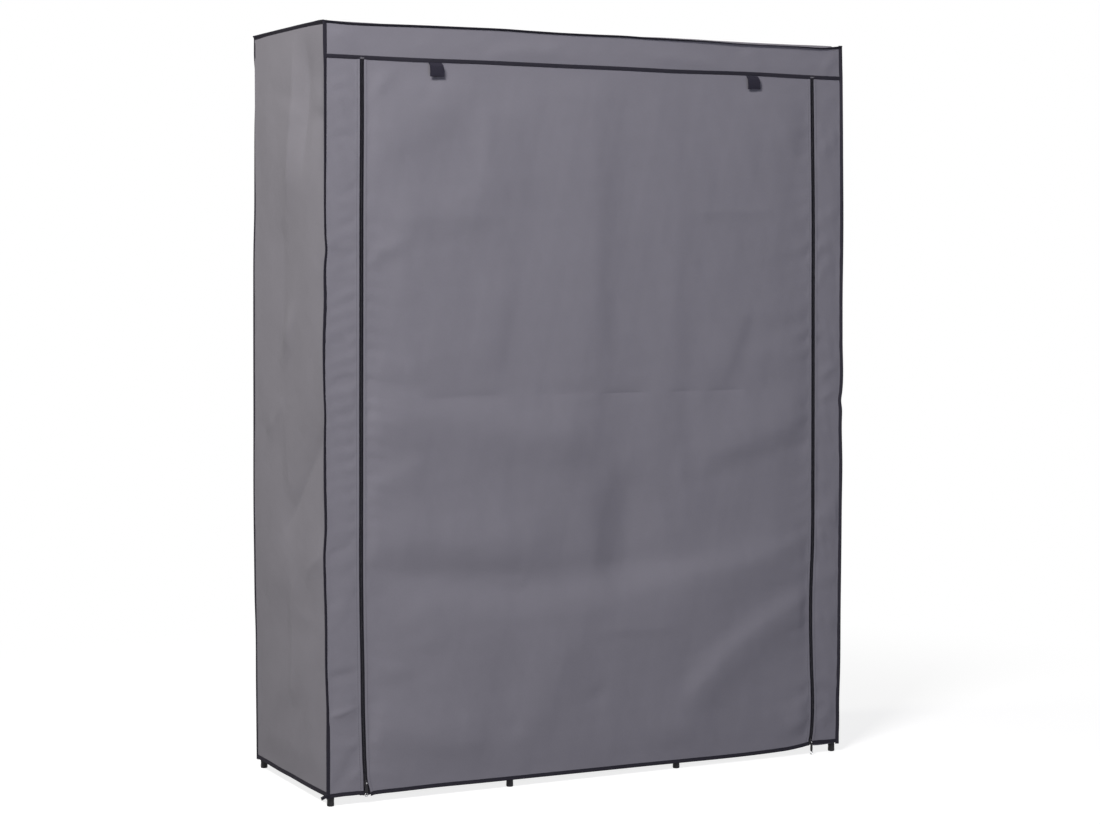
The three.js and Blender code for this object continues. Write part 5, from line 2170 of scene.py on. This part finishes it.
@dataclass(frozen=True)
class Lamp:
    """A soft square lamp."""

    name: str
    place: tuple[float, float, float]
    aim: tuple[float, float, float]
    size: float
    power: float
    tint: Colour

    def light(self) -> None:
        """Hangs the lamp, turned so that it shines at its aim."""
        lamp = bpy.data.lights.new(self.name, "AREA")
        lamp.shape, lamp.size, lamp.energy, lamp.color = "SQUARE", self.size, self.power, self.tint
        made = placed(self.name, lamp)
        made.location = self.place
        made.rotation_euler = (Vector(self.aim) - Vector(self.place)).to_track_quat("-Z", "Y").to_euler()


@dataclass(frozen=True)
class Studio:
    """The floor, the lamps, the surroundings and the camera."""

    floor_half: float = 12.0
    floor_grey: float = 0.48
    floor_glow: float = 0.82
    floor_diffuse: float = 0.34
    clear_from: float = 0.9
    clear_to: float = 2.4
    world_tint: Colour = (0.15, 0.15, 0.16)
    camera_place: tuple[float, float, float] = (-2.442, -4.895, 1.170)
    camera_turn: float = 26.45
    camera_drop: float = 2.0
    lens: float = 75.53
    shift_down: float = 0.0572
    lamps: tuple[Lamp, ...] = (
        Lamp("key_lamp", (-2.85, -2.75, 4.2), (0.0, 0.0, 0.9), 1.2, 234.0, (1.0, 0.982, 0.985)),
        Lamp("side_lamp", (-3.3, 0.8, 4.5), (-0.66, 0.0, 0.9), 1.2, 70.0, (1.0, 0.97, 0.84)),
        Lamp("front_lamp", (0.4, -6.0, 1.6), (0.0, 0.0, 1.0), 2.4, 44.0, (0.62, 0.66, 1.0)),
    )

    def seen_directly(self, tree: ShaderTree) -> Signal:
        """1 for rays from the camera, from gloss and through glass, else 0."""
        names = ("Camera", "Glossy", "Transmission")
        camera, gloss, glass = (tree.node("ShaderNodeLightPath", output=f"Is {name} Ray") for name in names)
        return camera.maths("MAXIMUM", camera, gloss.maths("MAXIMUM", gloss, glass))

    def floor(self) -> None:
        """A pale floor that turns white to the camera where no shadow falls on it."""
        tree = ShaderTree("studio_floor")
        diffuse = tree.node("ShaderNodeBsdfDiffuse", None, {"Color": (self.floor_grey,) * 3 + (1.0,)})
        seen = tree.node("ShaderNodeBsdfDiffuse", None, {"Color": (self.floor_diffuse,) * 3 + (1.0,)})
        glow = tree.node("ShaderNodeEmission", None, {"Strength": self.floor_glow})
        lit = tree.node("ShaderNodeAddShader", None, {0: seen, 1: glow})
        gap = tree.node("ShaderNodeVectorMath", {"operation": "LENGTH"}, {0: tree.solid_place()}, "Value")
        white = tree.node("ShaderNodeEmission", None, {"Strength": 1.0})
        clear = gap.rising(self.clear_from, self.clear_to)
        lit = tree.node("ShaderNodeMixShader", None, {0: clear, 1: lit, 2: white})
        mixed = tree.node("ShaderNodeMixShader", None, {0: self.seen_directly(tree), 1: diffuse, 2: lit})
        tree.node("ShaderNodeOutputMaterial", None, {"Surface": mixed})
        half = self.floor_half
        mesh = bpy.data.meshes.new("studio_floor")
        mesh.from_pydata([(-half, -half, 0), (half, -half, 0), (half, half, 0), (-half, half, 0)], [], [(0, 1, 2, 3)])
        mesh.materials.append(tree.material)
        placed("studio_floor", mesh)

    def surroundings(self) -> None:
        """White to the camera, grey as light."""
        world = bpy.data.worlds.new("studio")
        world.use_nodes = True
        tree = ShaderTree.__new__(ShaderTree)
        tree.material = world
        world.node_tree.nodes.clear()
        light = tree.node("ShaderNodeBackground", None, {"Color": (*self.world_tint, 1.0)})
        white = tree.node("ShaderNodeBackground", None, {"Color": (1.0, 1.0, 1.0, 1.0)})
        mixed = tree.node("ShaderNodeMixShader", None, {0: self.seen_directly(tree), 1: light, 2: white})
        tree.node("ShaderNodeOutputWorld", None, {"Surface": mixed})
        bpy.context.scene.world = world

    def camera(self) -> None:
        """The camera, placed and aimed as in the photograph."""
        lens = bpy.data.cameras.new("camera")
        lens.lens, lens.sensor_width, lens.shift_y = self.lens, 36.0, -self.shift_down
        lens.clip_start, lens.clip_end = 0.1, 60.0
        made = placed("camera", lens)
        turn, drop = math.radians(self.camera_turn), math.radians(self.camera_drop)
        ahead = Vector((math.sin(turn) * math.cos(drop), math.cos(turn) * math.cos(drop), -math.sin(drop)))
        made.location = self.camera_place
        made.rotation_euler = ahead.to_track_quat("-Z", "Y").to_euler()
        bpy.context.scene.camera = made

    def build(self) -> None:
        """Sets up the studio."""
        bpy.context.scene.view_settings.view_transform = "Standard"
        self.camera()
        self.floor()
        self.surroundings()
        for lamp in self.lamps:
            lamp.light()


def main() -> None:
    logging.basicConfig(level=logging.INFO, format="%(name)s: %(message)s")
    pins = {joint["name"]: Vector(joint["pos_m"]) for joint in frame["joints"] if "pos_m" in joint}
    Studio().build()
    walls = Walls.from_frame()
    door = Door(walls)
    TubeFrame().build()
    Shelves().build()
    Cover(walls).build()
    door.build()
    for side, word in SIDE_WORD.items():
        ZipFastener(walls, side, pins[f"{word}_pull_swing"]).build(door)


if __name__ == "__main__":
    main()
